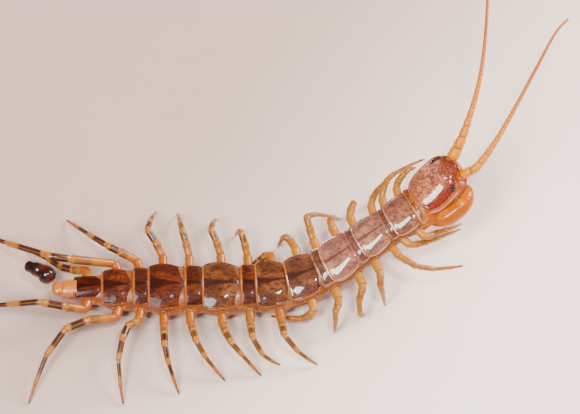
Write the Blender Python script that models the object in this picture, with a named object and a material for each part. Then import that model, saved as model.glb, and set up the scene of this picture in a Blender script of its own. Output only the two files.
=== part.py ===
"""A stone centipede, order Lithobiomorpha, life size, as a still museum model.

The body lies along a back line that starts straight, turns to the animal's
left and lifts its front third off the floor. Every sub-part is one closed
solid. Lengths are millimetres in the functions, and each mesh is scaled to
metres when its object is made.
"""
import bpy
import bmesh
from math import cos, pi, radians, sin, sqrt
from mathutils import Vector

MILLIMETRE = 0.001
GAP = 0.24

# Moves the model so that its origin is on the floor at the middle of its box
PLACE = Vector((1.9694, 0.8977, 0.0))

# The back line, from the tail's end to the front of the head
BODY_LENGTH = 31.0
TAIL_POINT = Vector((-16.6, -7.5, 2.3))
BODY_HEADING = 1.0
BEND_ANGLE = 26.0
BEND_START = 12.6
BEND_LENGTH = 9.0
TAIL_DROOP = 4.0
LIFT_ANGLE = 23.0
LIFT_START = 14.0
LIFT_LENGTH = 6.5
NECK_START = 26.0
NECK_LENGTH = 3.0
NECK_TURN = 12.0
NECK_LIFT = 3.0
STEP = 0.05

# Trunk segments from the rear: number, length with its gap, half width,
# and how far along the segment its legs stand
SEGMENTS = (
    (15, 2.00, 1.00, 0.50),
    (14, 2.15, 1.46, 0.52),
    (13, 1.10, 1.62, 0.50),
    (12, 2.50, 1.84, 0.42),
    (11, 1.30, 1.76, 0.30),
    (10, 2.60, 1.90, 0.50),
    (9, 1.10, 1.76, 0.55),
    (8, 2.15, 1.83, 0.62),
    (7, 2.10, 1.74, 0.52),
    (6, 0.95, 1.66, 0.50),
    (5, 1.90, 1.66, 0.66),
    (4, 0.88, 1.54, 0.92),
    (3, 1.90, 1.46, 0.78),
    (2, 0.78, 1.38, 0.65),
    (1, 1.45, 1.48, 0.66),
)
TAIL_LENGTH = 1.5
TAIL_HALF_WIDTH = 0.66
COLLAR_LENGTH = 0.62
COLLAR_HALF_WIDTH = 1.60
HEIGHT_BASE = 0.42
HEIGHT_PER_WIDTH = 0.82

# Half section of a segment: across in half widths, depth in heights.
# The first points are the raised back plate with its rim, the rest the flank.
PLATE_HALF = (
    (0.00, 0.000),
    (0.32, 0.025),
    (0.60, 0.100),
    (0.80, 0.205),
    (0.88, 0.262),
    (0.94, 0.262),
    (1.00, 0.315),
    (0.97, 0.370),
)
FLANK_HALF = (
    (0.88, 0.430),
    (1.03, 0.550),
    (1.06, 0.680),
    (0.98, 0.830),
    (0.72, 0.950),
    (0.38, 1.000),
    (0.00, 1.000),
)
LEG_DEPTH = 0.64
LEG_SEAT = 1.055

# Head
HEAD_LENGTH = 3.80
HEAD_HALF_WIDTH = 1.64
HEAD_DEPTH = 1.02
HEAD_WIDEST = 0.45
HEAD_HALF = (
    (0.00, 0.00),
    (0.35, 0.03),
    (0.65, 0.14),
    (0.84, 0.30),
    (0.90, 0.36),
    (0.96, 0.36),
    (1.00, 0.45),
    (0.97, 0.54),
    (0.84, 0.66),
    (0.80, 0.88),
    (0.55, 1.00),
    (0.00, 1.00),
)
# Part of the head's length, and how far the plate drops there
HEAD_PLAN = (
    (0.00, 0.16), (0.05, 0.05), (0.16, 0.01), (0.30, 0.00), (0.45, 0.00),
    (0.60, 0.02), (0.75, 0.08), (0.87, 0.18), (0.95, 0.28), (1.00, 0.42),
)
EYE_LENGTH = 0.62
EYE_HEIGHT = 0.42
EYE_THICKNESS = 0.26
EYE_PLACE = 0.76
EYE_ACROSS = 0.80
EYE_DEPTH = 0.27
EYE_STAND_OFF = 0.14
# Level of each ring of the eye's button, and its size beside the whole
EYE_PLAN = ((0.0, 0.70), (0.35, 1.0), (0.75, 0.80), (1.0, 0.40))

# Plate between the poison claws: part of its length and half width
COXOSTERNITE_LENGTH = 2.3
COXOSTERNITE_REAR_THICKNESS = 0.62
COXOSTERNITE_FRONT_THICKNESS = 0.50
COXOSTERNITE_PLAN = ((0.0, 0.76), (0.15, 0.80), (0.55, 0.98), (0.85, 0.86), (1.0, 0.62))
# Maxillae: part of their length, half width and thickness
MOUTHPARTS_LENGTH = 0.95
MOUTHPARTS_PLAN = ((0.0, 0.46, 0.40), (0.4, 0.55, 0.45), (0.8, 0.49, 0.38), (1.0, 0.32, 0.26))

# Poison claws: route as ahead, out and depth, then part of the route and radius
FORCIPULE_PLACE = 0.35
FORCIPULE_DEPTH = 1.52
FORCIPULE_ROUTE = (
    (-0.12, 1.36, 0.00),
    (0.50, 1.74, 0.00),
    (1.25, 1.86, 0.00),
    (1.95, 1.80, 0.04),
    (2.48, 1.50, 0.16),
    (2.74, 1.02, 0.34),
    (2.68, 0.45, 0.48),
)
FORCIPULE_PLAN = (
    (0.00, 0.42), (0.06, 0.52), (0.20, 0.60), (0.38, 0.61), (0.50, 0.57), (0.56, 0.50),
    (0.62, 0.52), (0.70, 0.46), (0.75, 0.38), (0.82, 0.30), (0.90, 0.19), (1.00, 0.07),
)

# Legs
LEG_SIDES = 7
PATH_STEP = 0.08
BEND_STEPS = 4
FOOT_FLAT = 0.05
CLAW_RADIUS = 0.07
COXA_LENGTH = 0.52
PREFEMUR_PART = 0.46
TIBIA_PART = 0.36
TARSUS_PART = 0.76
# Name of each article and its radius at its thickest part
ARTICLES = (
    ("coxa", 0.33),
    ("prefemur", 0.31),
    ("femur", 0.29),
    ("tibia", 0.26),
    ("tarsus", 0.21),
    ("metatarsus", 0.15),
)
THICKEST_PART = 0.55
JOINT_SHARE = 0.82

# How each leg stands, measured from its seat on the flank: knee forward, knee out,
# knee height above the floor, foot forward, foot out, foot height above the floor
STANCE_RIGHT = {
    1: (1.3, 0.10, 4.45, 3.3, 0.1, 4.0),
    2: (1.55, 0.35, 4.1, 4.4, 0.2, 3.3),
    3: (0.9, 1.6, 3.95, 4.1, 2.7, 3.1),
    4: (-0.4, 1.3, 3.1, -0.1, 1.5, 0.0),
    5: (-0.7, 1.2, 2.4, -0.3, 1.25, 0.0),
    6: (-0.7, 1.5, 2.5, -0.9, 1.85, 0.0),
    7: (-0.9, 0.35, 0.75, -2.9, -0.8, 0.0),
    8: (0.0, 2.1, 2.4, 2.2, 3.6, 0.0),
    9: (0.1, 2.15, 2.4, 2.05, 3.25, 0.0),
    10: (0.6, 2.3, 2.3, 2.7, 3.9, 0.0),
    11: (0.4, 2.3, 2.3, 2.4, 4.4, 0.0),
    12: (0.05, 2.5, 2.3, 1.0, 5.3, 0.0),
    13: (-1.3, 2.2, 2.3, -1.3, 6.3, 0.0),
    14: (-3.7, 1.6, 2.4, -6.35, 6.3, 0.0),
    15: (-3.4, 0.1, 2.75, -9.4, -0.9, 0.0),
}
STANCE_LEFT = {
    1: (1.0, 0.8, 5.8, 2.2, 1.1, 5.2),
    2: (1.1, 1.4, 5.0, 2.6, 1.55, 5.0),
    3: (1.3, 1.4, 4.0, 5.3, 2.0, 4.1),
    4: (0.85, 1.4, 3.5, 1.3, 2.2, 0.0),
    5: (0.2, 1.1, 3.0, 1.5, 2.1, 0.0),
    6: (0.1, 2.0, 3.1, 2.4, 2.8, 0.0),
    7: (-0.5, 1.25, 2.4, -0.95, 1.7, 0.0),
    8: (-0.9, 0.35, 0.80, -2.9, -0.7, 0.0),
    9: (-0.4, 1.9, 2.4, -0.8, 2.9, 0.0),
    10: (-0.7, 2.1, 2.3, -0.3, 4.1, 0.0),
    11: (-0.5, 2.2, 2.3, -0.85, 4.7, 0.0),
    12: (-1.1, 2.2, 2.3, -0.5, 4.8, 0.0),
    13: (-2.3, 1.2, 2.3, -5.3, 4.5, 0.0),
    14: (-4.6, 0.05, 3.3, -9.8, 3.6, 0.0),
    15: (-2.0, 1.15, 0.6, -4.3, 2.75, 0.0),
}
# How far the first joint stands out from the seat, where it isn't the usual reach
USUAL_REACH = 0.42
COXA_REACH = {1: 0.25, 2: 0.2, 3: 0.2, 13: 0.2, 14: 0.28, 15: 0.24}
# How far the thigh's and the shin's joints stand off the straight line, where
# it isn't the usual bow: forward, out, up
USUAL_BOW = (0.0, 0.10, 0.12)
THIGH_BOW_RIGHT = {13: (-0.25, -0.10, 0.25), 14: (-0.40, -0.10, 0.20)}
THIGH_BOW_LEFT = {13: (-0.25, 0.10, 0.12), 14: (-0.45, -0.05, 0.15), 15: (0.0, 0.0, -0.25)}
SHIN_BOW_RIGHT = {
    3: (0.0, 0.20, -0.10),
    5: (-0.3, 0.50, -0.50),
    8: (0.05, 0.35, -0.20),
    9: (-0.05, 0.45, -0.25),
    11: (-0.10, 0.15, 0.05),
    12: (-0.10, 0.05, 0.12),
    13: (-0.30, -0.10, 0.25),
    14: (-0.35, -0.05, 0.20),
}
SHIN_BOW_LEFT = {3: (0.1, 0.30, 0.20), 13: (-0.25, 0.10, 0.12), 14: (-0.45, 0.10, 0.12)}
TARSUS_BOW_SHARE = 0.5
# Thickness of a leg beside that of a middle one
LEG_SCALE = {15: 1.12, 14: 1.12, 13: 1.05, 3: 0.92, 2: 0.92, 1: 0.92}

# Antennae: the route of each feeler as along, left and height points
ANTENNA_ARTICLES = 40
ANTENNA_BASE_ARTICLES = 8
ANTENNA_SIDES = 6
ANTENNA_RADIUS = 0.42
ANTENNA_LEAST_RADIUS = 0.25
ANTENNA_TIP_RADIUS = 0.13
ANTENNA_SPREAD = 0.78
ANTENNA_DEPTH = 0.60
ANTENNA_TIP_START = 0.86
ANTENNA_STRETCH = 0.55
ANTENNA_LEFT = (
    (12.10, 1.35, 8.60),
    (13.00, 4.05, 9.60),
    (13.50, 6.95, 10.20),
    (13.80, 10.90, 10.40),
    (13.75, 13.90, 10.30),
)
ANTENNA_RIGHT = (
    (12.95, -1.10, 8.00),
    (14.10, 0.35, 8.50),
    (15.35, 2.45, 9.00),
    (17.15, 5.90, 9.50),
    (18.50, 8.60, 9.60),
    (19.45, 9.85, 9.50),
)

# Gonopods: route as along, left and height points, then part of it and radius
GONOPOD_ROUTE = (
    (-16.80, -6.75, 1.75),
    (-17.05, -6.25, 1.85),
    (-17.45, -6.05, 1.90),
    (-17.85, -5.85, 1.90),
    (-18.15, -5.70, 1.85),
    (-18.50, -5.52, 1.80),
)
GONOPOD_PLAN = (
    (0.00, 0.34), (0.10, 0.53), (0.26, 0.60), (0.38, 0.48), (0.50, 0.48),
    (0.62, 0.45), (0.72, 0.37), (0.84, 0.37), (1.00, 0.20),
)

# Colours: red, green, blue, then roughness
PLATE_BROWN = (0.230, 0.060, 0.022, 0.22)
HEAD_BROWN = (0.330, 0.095, 0.035, 0.25)
AMBER = (0.560, 0.210, 0.040, 0.25)
LEG_AMBER = (0.640, 0.380, 0.160, 0.35)
FEELER_ORANGE = (0.620, 0.270, 0.060, 0.30)
EYE_BLACK = (0.012, 0.010, 0.010, 0.15)
TAIL_ORANGE = (0.520, 0.180, 0.060, 0.30)
DARK_BROWN = (0.060, 0.015, 0.010, 0.25)


def clear_scene():
    """Remove the objects the scene came with."""
    for thing in list(bpy.data.objects):
        bpy.data.objects.remove(thing, do_unlink=True)


def ease(value):
    """A smooth step from 0 to 1."""
    part = min(1.0, max(0.0, value))
    return part * part * (3.0 - 2.0 * part)


def blend(first, second, part):
    """A value between two others."""
    return first + (second - first) * part


def heading(along):
    """Direction of the body in plan, in radians."""
    bend = BEND_ANGLE * ease((along - BEND_START) / BEND_LENGTH)
    neck = NECK_TURN * ease((along - NECK_START) / NECK_LENGTH)
    return radians(BODY_HEADING + bend + neck)


def lift(along):
    """Upward slope of the back line, in radians."""
    tail = TAIL_DROOP * (1.0 - ease((along - 2.0) / 6.0))
    front = LIFT_ANGLE * ease((along - LIFT_START) / LIFT_LENGTH)
    neck = NECK_LIFT * ease((along - NECK_START) / NECK_LENGTH)
    return radians(tail + front + neck)


class Station:
    """A place on the back line with its own forward, left and up."""

    def __init__(self, point, along):
        turn = heading(along)
        rise = lift(along)
        self.point = point
        self.along = along
        self.forward = Vector((cos(turn) * cos(rise), sin(turn) * cos(rise), sin(rise)))
        self.left = Vector((-sin(turn), cos(turn), 0.0))
        self.up = self.forward.cross(self.left)

    def at(self, ahead, left, depth):
        """A point ahead of the station, to its left and below its back."""
        return self.point + self.forward * ahead + self.left * left - self.up * depth


def lay_back_line():
    """Points of the back line, one for each step along it."""
    points = [TAIL_POINT]
    count = int(round(BODY_LENGTH / STEP))
    for index in range(count):
        middle = Station(points[-1], (index + 0.5) * STEP)
        points.append(points[-1] + middle.forward * STEP)
    return points


BACK_LINE = lay_back_line()


def station(along):
    """The station at a distance along the back line."""
    place = along / STEP
    index = min(len(BACK_LINE) - 2, max(0, int(place)))
    point = BACK_LINE[index].lerp(BACK_LINE[index + 1], place - index)
    return Station(point, along)


def body_height(half_width):
    """Depth of the trunk from its back to its belly."""
    return HEIGHT_BASE + HEIGHT_PER_WIDTH * half_width


def make_material(name, finish):
    """A Principled material from a colour and a roughness."""
    material = bpy.data.materials.new(name)
    material.use_nodes = True
    shader = material.node_tree.nodes["Principled BSDF"]
    red, green, blue, roughness = finish
    shader.inputs["Base Color"].default_value = (red, green, blue, 1.0)
    shader.inputs["Roughness"].default_value = roughness
    shader.inputs["Metallic"].default_value = 0.0
    material.diffuse_color = (red, green, blue, 1.0)
    return material


def loft(rings):
    """A closed mesh through rings of equal point counts, capped at both ends."""
    mesh = bmesh.new()
    loops = [[mesh.verts.new(point) for point in ring] for ring in rings]
    count = len(rings[0])
    for near, far in zip(loops, loops[1:]):
        for index in range(count):
            after = (index + 1) % count
            mesh.faces.new((near[index], near[after], far[after], far[index]))
    mesh.faces.new(tuple(reversed(loops[0])))
    mesh.faces.new(tuple(loops[-1]))
    bmesh.ops.recalc_face_normals(mesh, faces=mesh.faces)
    bmesh.ops.triangulate(mesh, faces=mesh.faces)
    return mesh


def add_object(name, mesh, finish):
    """An object in metres from a mesh in millimetres."""
    data = bpy.data.meshes.new(name)
    mesh.to_mesh(data)
    mesh.free()
    for vertex in data.vertices:
        vertex.co = (vertex.co + PLACE) * MILLIMETRE
    data.materials.append(make_material(name + "_finish", finish))
    made = bpy.data.objects.new(name, data)
    bpy.context.scene.collection.objects.link(made)
    return made


def mirrored(half):
    """A whole section from its half, which starts on the back and ends below."""
    right = [(-across, depth) for across, depth in half]
    left = [(across, depth) for across, depth in half[1:-1]]
    return right + left[::-1]


def body_ring(place, half_width, height, plate, drop):
    """One section of a segment, its plate drawn in and dropped near the ends."""
    plate_part = [(across * plate, depth) for across, depth in PLATE_HALF]
    section = mirrored(tuple(plate_part) + FLANK_HALF)
    rows = len(PLATE_HALF)
    ring = []
    for across, depth in section:
        on_plate = depth <= PLATE_HALF[rows - 1][1]
        lowered = drop if on_plate else drop * 0.3
        low = min(depth * height + lowered, height)
        ring.append(place.at(0.0, across * half_width, low))
    return ring


def make_segment(name, start, end, half_width, finish):
    """A trunk segment: raised back plate with a rim, flanks and flat belly."""
    height = body_height(half_width)
    first = start + GAP / 2
    last = end - GAP / 2
    rim = min(0.16, (last - first) * 0.22)
    drop = 0.05 * height
    plan = (
        (first, 0.93, 0.90, drop),
        (first + rim, 0.985, 1.00, drop * 0.2),
        ((first + last) / 2, 1.00, 1.00, 0.0),
        (last - rim, 0.99, 1.00, drop * 0.2),
        (last, 0.95, 0.90, drop),
    )
    rings = []
    for along, width, plate, drop in plan:
        rings.append(body_ring(station(along), half_width * width, height, plate, drop))
    return add_object(name, loft(rings), finish)


def segment_places():
    """Start, end, half width and leg station of each trunk segment."""
    places = {}
    start = TAIL_LENGTH
    for number, length, half_width, leg_part in SEGMENTS:
        end = start + length
        leg_along = start + length * leg_part
        places[number] = (start, end, half_width, leg_along)
        start = end
    return places


PLACES = segment_places()
COLLAR_START = PLACES[1][1]
HEAD_START = COLLAR_START + COLLAR_LENGTH


def make_trunk():
    """All fifteen leg-bearing segments."""
    for number, (start, end, half_width, leg_along) in PLACES.items():
        make_segment("trunk_%02d" % number, start, end, half_width, PLATE_BROWN)


def smooth_path(points, steps):
    """A Catmull-Rom curve through points, with equal steps between them."""
    route = [Vector(point) for point in points]
    ends = [route[0] * 2 - route[1]] + route + [route[-1] * 2 - route[-2]]
    curve = []
    for index in range(1, len(ends) - 2):
        before, start, end, after = ends[index - 1:index + 3]
        for step in range(steps):
            t = step / steps
            curve.append(0.5 * (
                2 * start
                + (end - before) * t
                + (2 * before - 5 * start + 4 * end - after) * t * t
                + (3 * start - before - 3 * end + after) * t * t * t
            ))
    curve.append(route[-1])
    return curve


def along_path(curve, part):
    """The point at a part of a curve's length."""
    lengths = [0.0]
    for first, second in zip(curve, curve[1:]):
        lengths.append(lengths[-1] + (second - first).length)
    goal = min(max(part, 0.0), 1.0) * lengths[-1]
    for index in range(1, len(curve)):
        if lengths[index] >= goal:
            span = lengths[index] - lengths[index - 1]
            return curve[index - 1].lerp(curve[index], (goal - lengths[index - 1]) / span)
    return curve[-1]


def rounded_path(points):
    """An even run of points along straight stretches with rounded bends."""
    run = []
    for first, second in zip(points, points[1:]):
        count = max(1, int(round((second - first).length / PATH_STEP)))
        run += [first.lerp(second, step / count) for step in range(count)]
    run.append(points[-1])
    smooth_run = []
    for index in range(len(run)):
        reach = min(BEND_STEPS, index, len(run) - 1 - index)
        near = run[index - reach:index + reach + 1]
        smooth_run.append(sum(near, Vector((0.0, 0.0, 0.0))) / len(near))
    return smooth_run


def tube_rings(curve, plan, sides, first_axis):
    """Rings round a curve at parts of its length, each turned on from the last."""
    rings = []
    side = None
    for part, radius in plan:
        centre = along_path(curve, part)
        axis = along_path(curve, part + 0.01) - along_path(curve, part - 0.01)
        if side is None:
            axis = first_axis
            side = axis.cross(Vector((0.0, 0.0, 1.0)))
        axis = axis.normalized()
        side = (side - axis * side.dot(axis)).normalized()
        other = axis.cross(side)
        ring = []
        for step in range(sides):
            angle = 2 * pi * step / sides
            ring.append(centre + (side * cos(angle) + other * sin(angle)) * radius)
        rings.append(ring)
    return rings


def stand_on_floor(rings):
    """Press the lowest points of a foot flat onto the floor."""
    for ring in rings:
        for point in ring:
            if point.z < FOOT_FLAT:
                point.z = 0.0


def bow_vector(bows, number, ahead, out):
    """How far a joint of a leg stands off the straight line."""
    forward, sideways, up = bows.get(number, USUAL_BOW)
    return ahead * forward + out * sideways + Vector((0.0, 0.0, up))


def leg_route(number, side, stance):
    """The joints of one leg, from its seat on the flank to its claw."""
    start, end, half_width, leg_along = PLACES[number]
    seat = station(leg_along)
    height = body_height(half_width)
    seat_out = half_width * LEG_SEAT + GAP
    root = seat.at(0.0, side * seat_out, height * LEG_DEPTH)
    ahead = Vector((seat.forward.x, seat.forward.y, 0.0)).normalized()
    out = seat.left * side
    knee_ahead, knee_out, knee_height, foot_ahead, foot_out, foot_height = stance
    knee = root + ahead * knee_ahead + out * knee_out
    knee.z = knee_height
    foot = root + ahead * foot_ahead + out * foot_out
    foot.z = foot_height + CLAW_RADIUS
    reach = COXA_REACH.get(number, USUAL_REACH)
    trochanter = root + out * reach + (knee - root).normalized() * (COXA_LENGTH - reach)
    thigh_bow = THIGH_BOW_RIGHT if side < 0 else THIGH_BOW_LEFT
    shin_bow = SHIN_BOW_RIGHT if side < 0 else SHIN_BOW_LEFT
    bend = bow_vector(shin_bow, number, ahead, out)
    prefemur = trochanter.lerp(knee, PREFEMUR_PART) + bow_vector(thigh_bow, number, ahead, out)
    tibia = knee.lerp(foot, TIBIA_PART) + bend
    tarsus = knee.lerp(foot, TARSUS_PART) + bend * TARSUS_BOW_SHARE
    return [root, trochanter, prefemur, knee, tibia, tarsus, foot], out


def make_leg(name, number, side, stance):
    """One leg: coxa, prefemur, femur, tibia, tarsus and metatarsus with claw."""
    joints, out = leg_route(number, side, stance)
    scale = LEG_SCALE.get(number, 1.0)
    lengths = [(second - first).length for first, second in zip(joints, joints[1:])]
    whole = sum(lengths)
    plan = [(0.0, ARTICLES[0][1] * 0.95 * scale)]
    begin = 0.0
    for (title, thick), length in zip(ARTICLES, lengths):
        end = begin + length / whole
        last = title == ARTICLES[-1][0]
        plan.append((blend(begin, end, THICKEST_PART), thick * scale))
        plan.append((end, CLAW_RADIUS if last else thick * scale * JOINT_SHARE))
        begin = end
    rings = tube_rings(rounded_path(joints), plan, LEG_SIDES, out)
    stand_on_floor(rings)
    return add_object(name, loft(rings), LEG_AMBER)


def make_legs():
    """Fifteen pairs of legs."""
    for number in PLACES:
        make_leg("leg_right_%02d" % number, number, -1, STANCE_RIGHT[number])
        make_leg("leg_left_%02d" % number, number, 1, STANCE_LEFT[number])


def head_half_width(part):
    """Half width of the head plate at a part of its length."""
    reach = abs(part - HEAD_WIDEST) / 0.60
    return HEAD_HALF_WIDTH * sqrt(max(0.05, 1.0 - reach ** 2.6))


def make_head():
    """The head: domed plate with a rim, cheeks and flat underside."""
    section = mirrored(HEAD_HALF)
    rings = []
    for part, drop in HEAD_PLAN:
        place = station(HEAD_START + HEAD_LENGTH * part)
        half_width = head_half_width(part)
        ring = []
        for across, depth in section:
            low = drop + depth * (HEAD_DEPTH - drop)
            ring.append(place.at(0.0, across * half_width, low))
        rings.append(ring)
    return add_object("head", loft(rings), HEAD_BROWN)


def make_collar():
    """The narrow plate and ring of the segment that carries the poison claws."""
    make_segment("collar", COLLAR_START, HEAD_START - GAP / 2, COLLAR_HALF_WIDTH, AMBER)


def make_coxosternite():
    """The plate below the head between the poison claws, with its toothed front."""
    first = HEAD_START + GAP / 2
    top = HEAD_DEPTH + GAP
    rings = []
    for part, half_width in COXOSTERNITE_PLAN:
        place = station(first + COXOSTERNITE_LENGTH * part)
        bottom = top + blend(COXOSTERNITE_REAR_THICKNESS, COXOSTERNITE_FRONT_THICKNESS, part)
        edge = (top + bottom) / 2
        ring = [
            place.at(0.0, -half_width * 0.85, top),
            place.at(0.0, half_width * 0.85, top),
            place.at(0.0, half_width, edge),
            place.at(0.0, half_width * 0.7, bottom),
            place.at(0.0, -half_width * 0.7, bottom),
            place.at(0.0, -half_width, edge),
        ]
        rings.append(ring)
    return add_object("coxosternite", loft(rings), AMBER)


def make_mouthparts():
    """The paired maxillae in front of the coxosternite."""
    first = HEAD_START + COXOSTERNITE_LENGTH + GAP * 2
    top = HEAD_DEPTH + GAP
    rings = []
    for part, half_width, thick in MOUTHPARTS_PLAN:
        place = station(first + MOUTHPARTS_LENGTH * part)
        centre = place.at(0.0, 0.0, top + thick / 2)
        ring = []
        for step in range(8):
            angle = 2 * pi * step / 8
            across = half_width * cos(angle)
            deep = thick / 2 * sin(angle)
            ring.append(centre + place.left * across - place.up * deep)
        rings.append(ring)
    return add_object("mouthparts", loft(rings), AMBER)


def make_forcipule(name, side):
    """A poison claw: stout trochanteroprefemur, two short rings and the fang."""
    base = station(HEAD_START + FORCIPULE_PLACE)
    points = []
    for ahead, out, low in FORCIPULE_ROUTE:
        points.append(base.at(ahead, side * out, FORCIPULE_DEPTH + low))
    curve = smooth_path(points, 6)
    rings = tube_rings(curve, FORCIPULE_PLAN, 10, curve[1] - curve[0])
    return add_object(name, loft(rings), AMBER)


def make_eye(name, side):
    """The cluster of ocelli as one low oval button on the side of the head."""
    place = station(HEAD_START + HEAD_LENGTH * EYE_PLACE)
    across = head_half_width(EYE_PLACE) * EYE_ACROSS
    out = (place.left * side * 0.80 + place.up * 0.60).normalized()
    seat = place.at(0.0, side * across, EYE_DEPTH) + out * EYE_STAND_OFF
    lengthwise = place.forward
    upright = out.cross(lengthwise).normalized()
    rings = []
    for level, spread in EYE_PLAN:
        ring = []
        for step in range(10):
            angle = 2 * pi * step / 10
            ahead = lengthwise * cos(angle) * EYE_LENGTH / 2 * spread
            high = upright * sin(angle) * EYE_HEIGHT / 2 * spread
            ring.append(seat + out * EYE_THICKNESS * level + ahead + high)
        rings.append(ring)
    return add_object(name, loft(rings), EYE_BLACK)


def antenna_radius(part):
    """Radius of a feeler at a part of its length."""
    real = blend(ANTENNA_RADIUS, ANTENNA_TIP_RADIUS, ease(part * 1.25))
    if part > ANTENNA_TIP_START:
        tip_part = (part - ANTENNA_TIP_START) / (1.0 - ANTENNA_TIP_START)
        return blend(ANTENNA_LEAST_RADIUS, ANTENNA_TIP_RADIUS, tip_part)
    return max(real, ANTENNA_LEAST_RADIUS)


def make_antenna(name, side, route):
    """A beaded feeler in two lengths: the stout base and the long whip."""
    front = station(HEAD_START + HEAD_LENGTH)
    socket = front.at(GAP, side * ANTENNA_SPREAD, ANTENNA_DEPTH)
    curve = smooth_path((socket,) + route, 10)
    length = sum((b - a).length for a, b in zip(curve, curve[1:]))
    stretches = (
        ("_base", 0, ANTENNA_BASE_ARTICLES),
        ("_whip", ANTENNA_BASE_ARTICLES, ANTENNA_ARTICLES),
    )
    for title, first, last in stretches:
        plan = []
        for article in range(first, last):
            begin = article_start(article)
            finish = article_start(article + 1)
            if article == first and first > 0:
                begin += GAP / length
            thick = antenna_radius((begin + finish) / 2)
            if article == first:
                plan.append((begin, thick * 0.80))
            plan.append((blend(begin, finish, 0.6), thick))
            plan.append((finish, thick * 0.82))
        join = plan[0][0]
        first_axis = along_path(curve, join + 0.02) - along_path(curve, join)
        if first == 0:
            first_axis = front.forward
        rings = tube_rings(curve, plan, ANTENNA_SIDES, first_axis)
        add_object(name + title, loft(rings), FEELER_ORANGE)


def article_start(article):
    """Where an article begins along its feeler, the first ones being longer."""
    part = article / ANTENNA_ARTICLES
    return part * (1.0 + ANTENNA_STRETCH * (1.0 - part)) if part < 1.0 else 1.0


def make_tail():
    """The last plate and the genital segment, which carry no legs."""
    make_segment("tail", 0.0, TAIL_LENGTH, TAIL_HALF_WIDTH, TAIL_ORANGE)


def make_gonopods():
    """The dark lobed appendages beside the tail's end, bent to the left."""
    curve = smooth_path(GONOPOD_ROUTE, 4)
    rings = tube_rings(curve, GONOPOD_PLAN, 9, curve[1] - curve[0])
    return add_object("gonopods", loft(rings), DARK_BROWN)


clear_scene()
make_tail()
make_gonopods()
make_trunk()
make_collar()
make_head()
make_coxosternite()
make_mouthparts()
make_forcipule("forcipule_left", 1)
make_forcipule("forcipule_right", -1)
make_eye("eye_left", 1)
make_eye("eye_right", -1)
make_antenna("antenna_left", 1, ANTENNA_LEFT)
make_antenna("antenna_right", -1, ANTENNA_RIGHT)
make_legs()
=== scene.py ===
# %% [markdown]
# # A stone centipede, dressed
#
# A stone centipede hunts under bark and stones. It has one round head shield, fifteen pairs of
# banded legs and a row of polished back plates, long ones and short ones in turn. This script
# dresses the plain solids of the model: it lays finer pieces where each solid stands and gives
# them their finishes. It is read from top to bottom, a short step at a time.

import random
from bisect import bisect_left
from math import cos, exp, pi, radians, sin

import bmesh
import bpy
from mathutils import Matrix, Vector


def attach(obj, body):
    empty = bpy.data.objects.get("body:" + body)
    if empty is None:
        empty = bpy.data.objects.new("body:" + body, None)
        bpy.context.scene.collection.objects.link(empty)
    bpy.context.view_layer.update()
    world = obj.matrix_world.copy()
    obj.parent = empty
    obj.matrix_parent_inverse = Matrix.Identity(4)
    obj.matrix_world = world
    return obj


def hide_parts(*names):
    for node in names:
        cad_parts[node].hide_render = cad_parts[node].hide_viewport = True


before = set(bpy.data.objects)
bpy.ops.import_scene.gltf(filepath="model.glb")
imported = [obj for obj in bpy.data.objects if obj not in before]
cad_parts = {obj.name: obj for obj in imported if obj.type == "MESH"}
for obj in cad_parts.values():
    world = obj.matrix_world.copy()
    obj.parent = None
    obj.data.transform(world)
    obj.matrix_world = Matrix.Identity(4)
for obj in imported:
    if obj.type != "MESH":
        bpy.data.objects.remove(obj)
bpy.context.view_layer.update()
print("plain model:", len(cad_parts), "nodes")

# %% [markdown]
# ## Units and the back line
#
# The whole animal hangs on one line along its back. It starts straight at the tail, turns to the
# animal's left and lifts off the floor towards the head. A spline drawn by hand would do, but a
# turn and a lift that ease in along the body are easier to read, and every piece can ask the line
# where it is. Lengths are in millimetres, and each mesh is scaled once, when it is finished.

# %% The back line
MILLIMETRE = 0.001
# The shift that sets the animal's box round the origin
PLACE = Vector((1.9694, 0.8977, 0.0))
BODY_LENGTH = 31.0
TAIL_HEIGHT = 2.3
TAIL_POINT = Vector((-16.6, -7.5, TAIL_HEIGHT))
STEP = 0.05
# Turns to the left and lifts: how many degrees, from where along the back, over what length
FIRST_TURN = 1.0
TURNS = ((26.0, 12.6, 9.0), (12.0, 26.0, 3.0))
TAIL_LIFT = 4.0
TAIL_LIFT_START = 2.0
TAIL_LIFT_LENGTH = 6.0
LIFTS = ((23.0, 14.0, 6.5), (3.0, 26.0, 3.0))


def ease(value):
    """A smooth step from 0 to 1."""
    part = min(1.0, max(0.0, value))
    return part * part * (3.0 - 2.0 * part)


def blend(first, second, part):
    """A value between two others."""
    return first + (second - first) * part


def angle_along(along, start, steps):
    """An angle that takes smooth steps along the back: given in degrees, returned in radians."""
    turned = (size * ease((along - first) / length) for size, first, length in steps)
    return radians(sum(turned, start))


def heading(along):
    """Direction of the body in plan."""
    return angle_along(along, FIRST_TURN, TURNS)


def lift(along):
    """Upward slope of the back line."""
    tail = TAIL_LIFT * (1.0 - ease((along - TAIL_LIFT_START) / TAIL_LIFT_LENGTH))
    return angle_along(along, tail, LIFTS)


class Station:
    """A place on the back line with its own forward, left and up."""

    def __init__(self, point, along):
        turn = heading(along)
        rise = lift(along)
        self.point = point
        self.forward = Vector((cos(turn) * cos(rise), sin(turn) * cos(rise), sin(rise)))
        self.left = Vector((-sin(turn), cos(turn), 0.0))
        self.up = self.forward.cross(self.left)

    def at(self, ahead, left, depth):
        """A point ahead of the station, to its left and below its back."""
        return self.point + self.forward * ahead + self.left * left - self.up * depth


BACK_LINE = [TAIL_POINT]
for step_index in range(int(round(BODY_LENGTH / STEP))):
    middle = Station(BACK_LINE[-1], (step_index + 0.5) * STEP)
    BACK_LINE.append(BACK_LINE[-1] + middle.forward * STEP)


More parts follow.
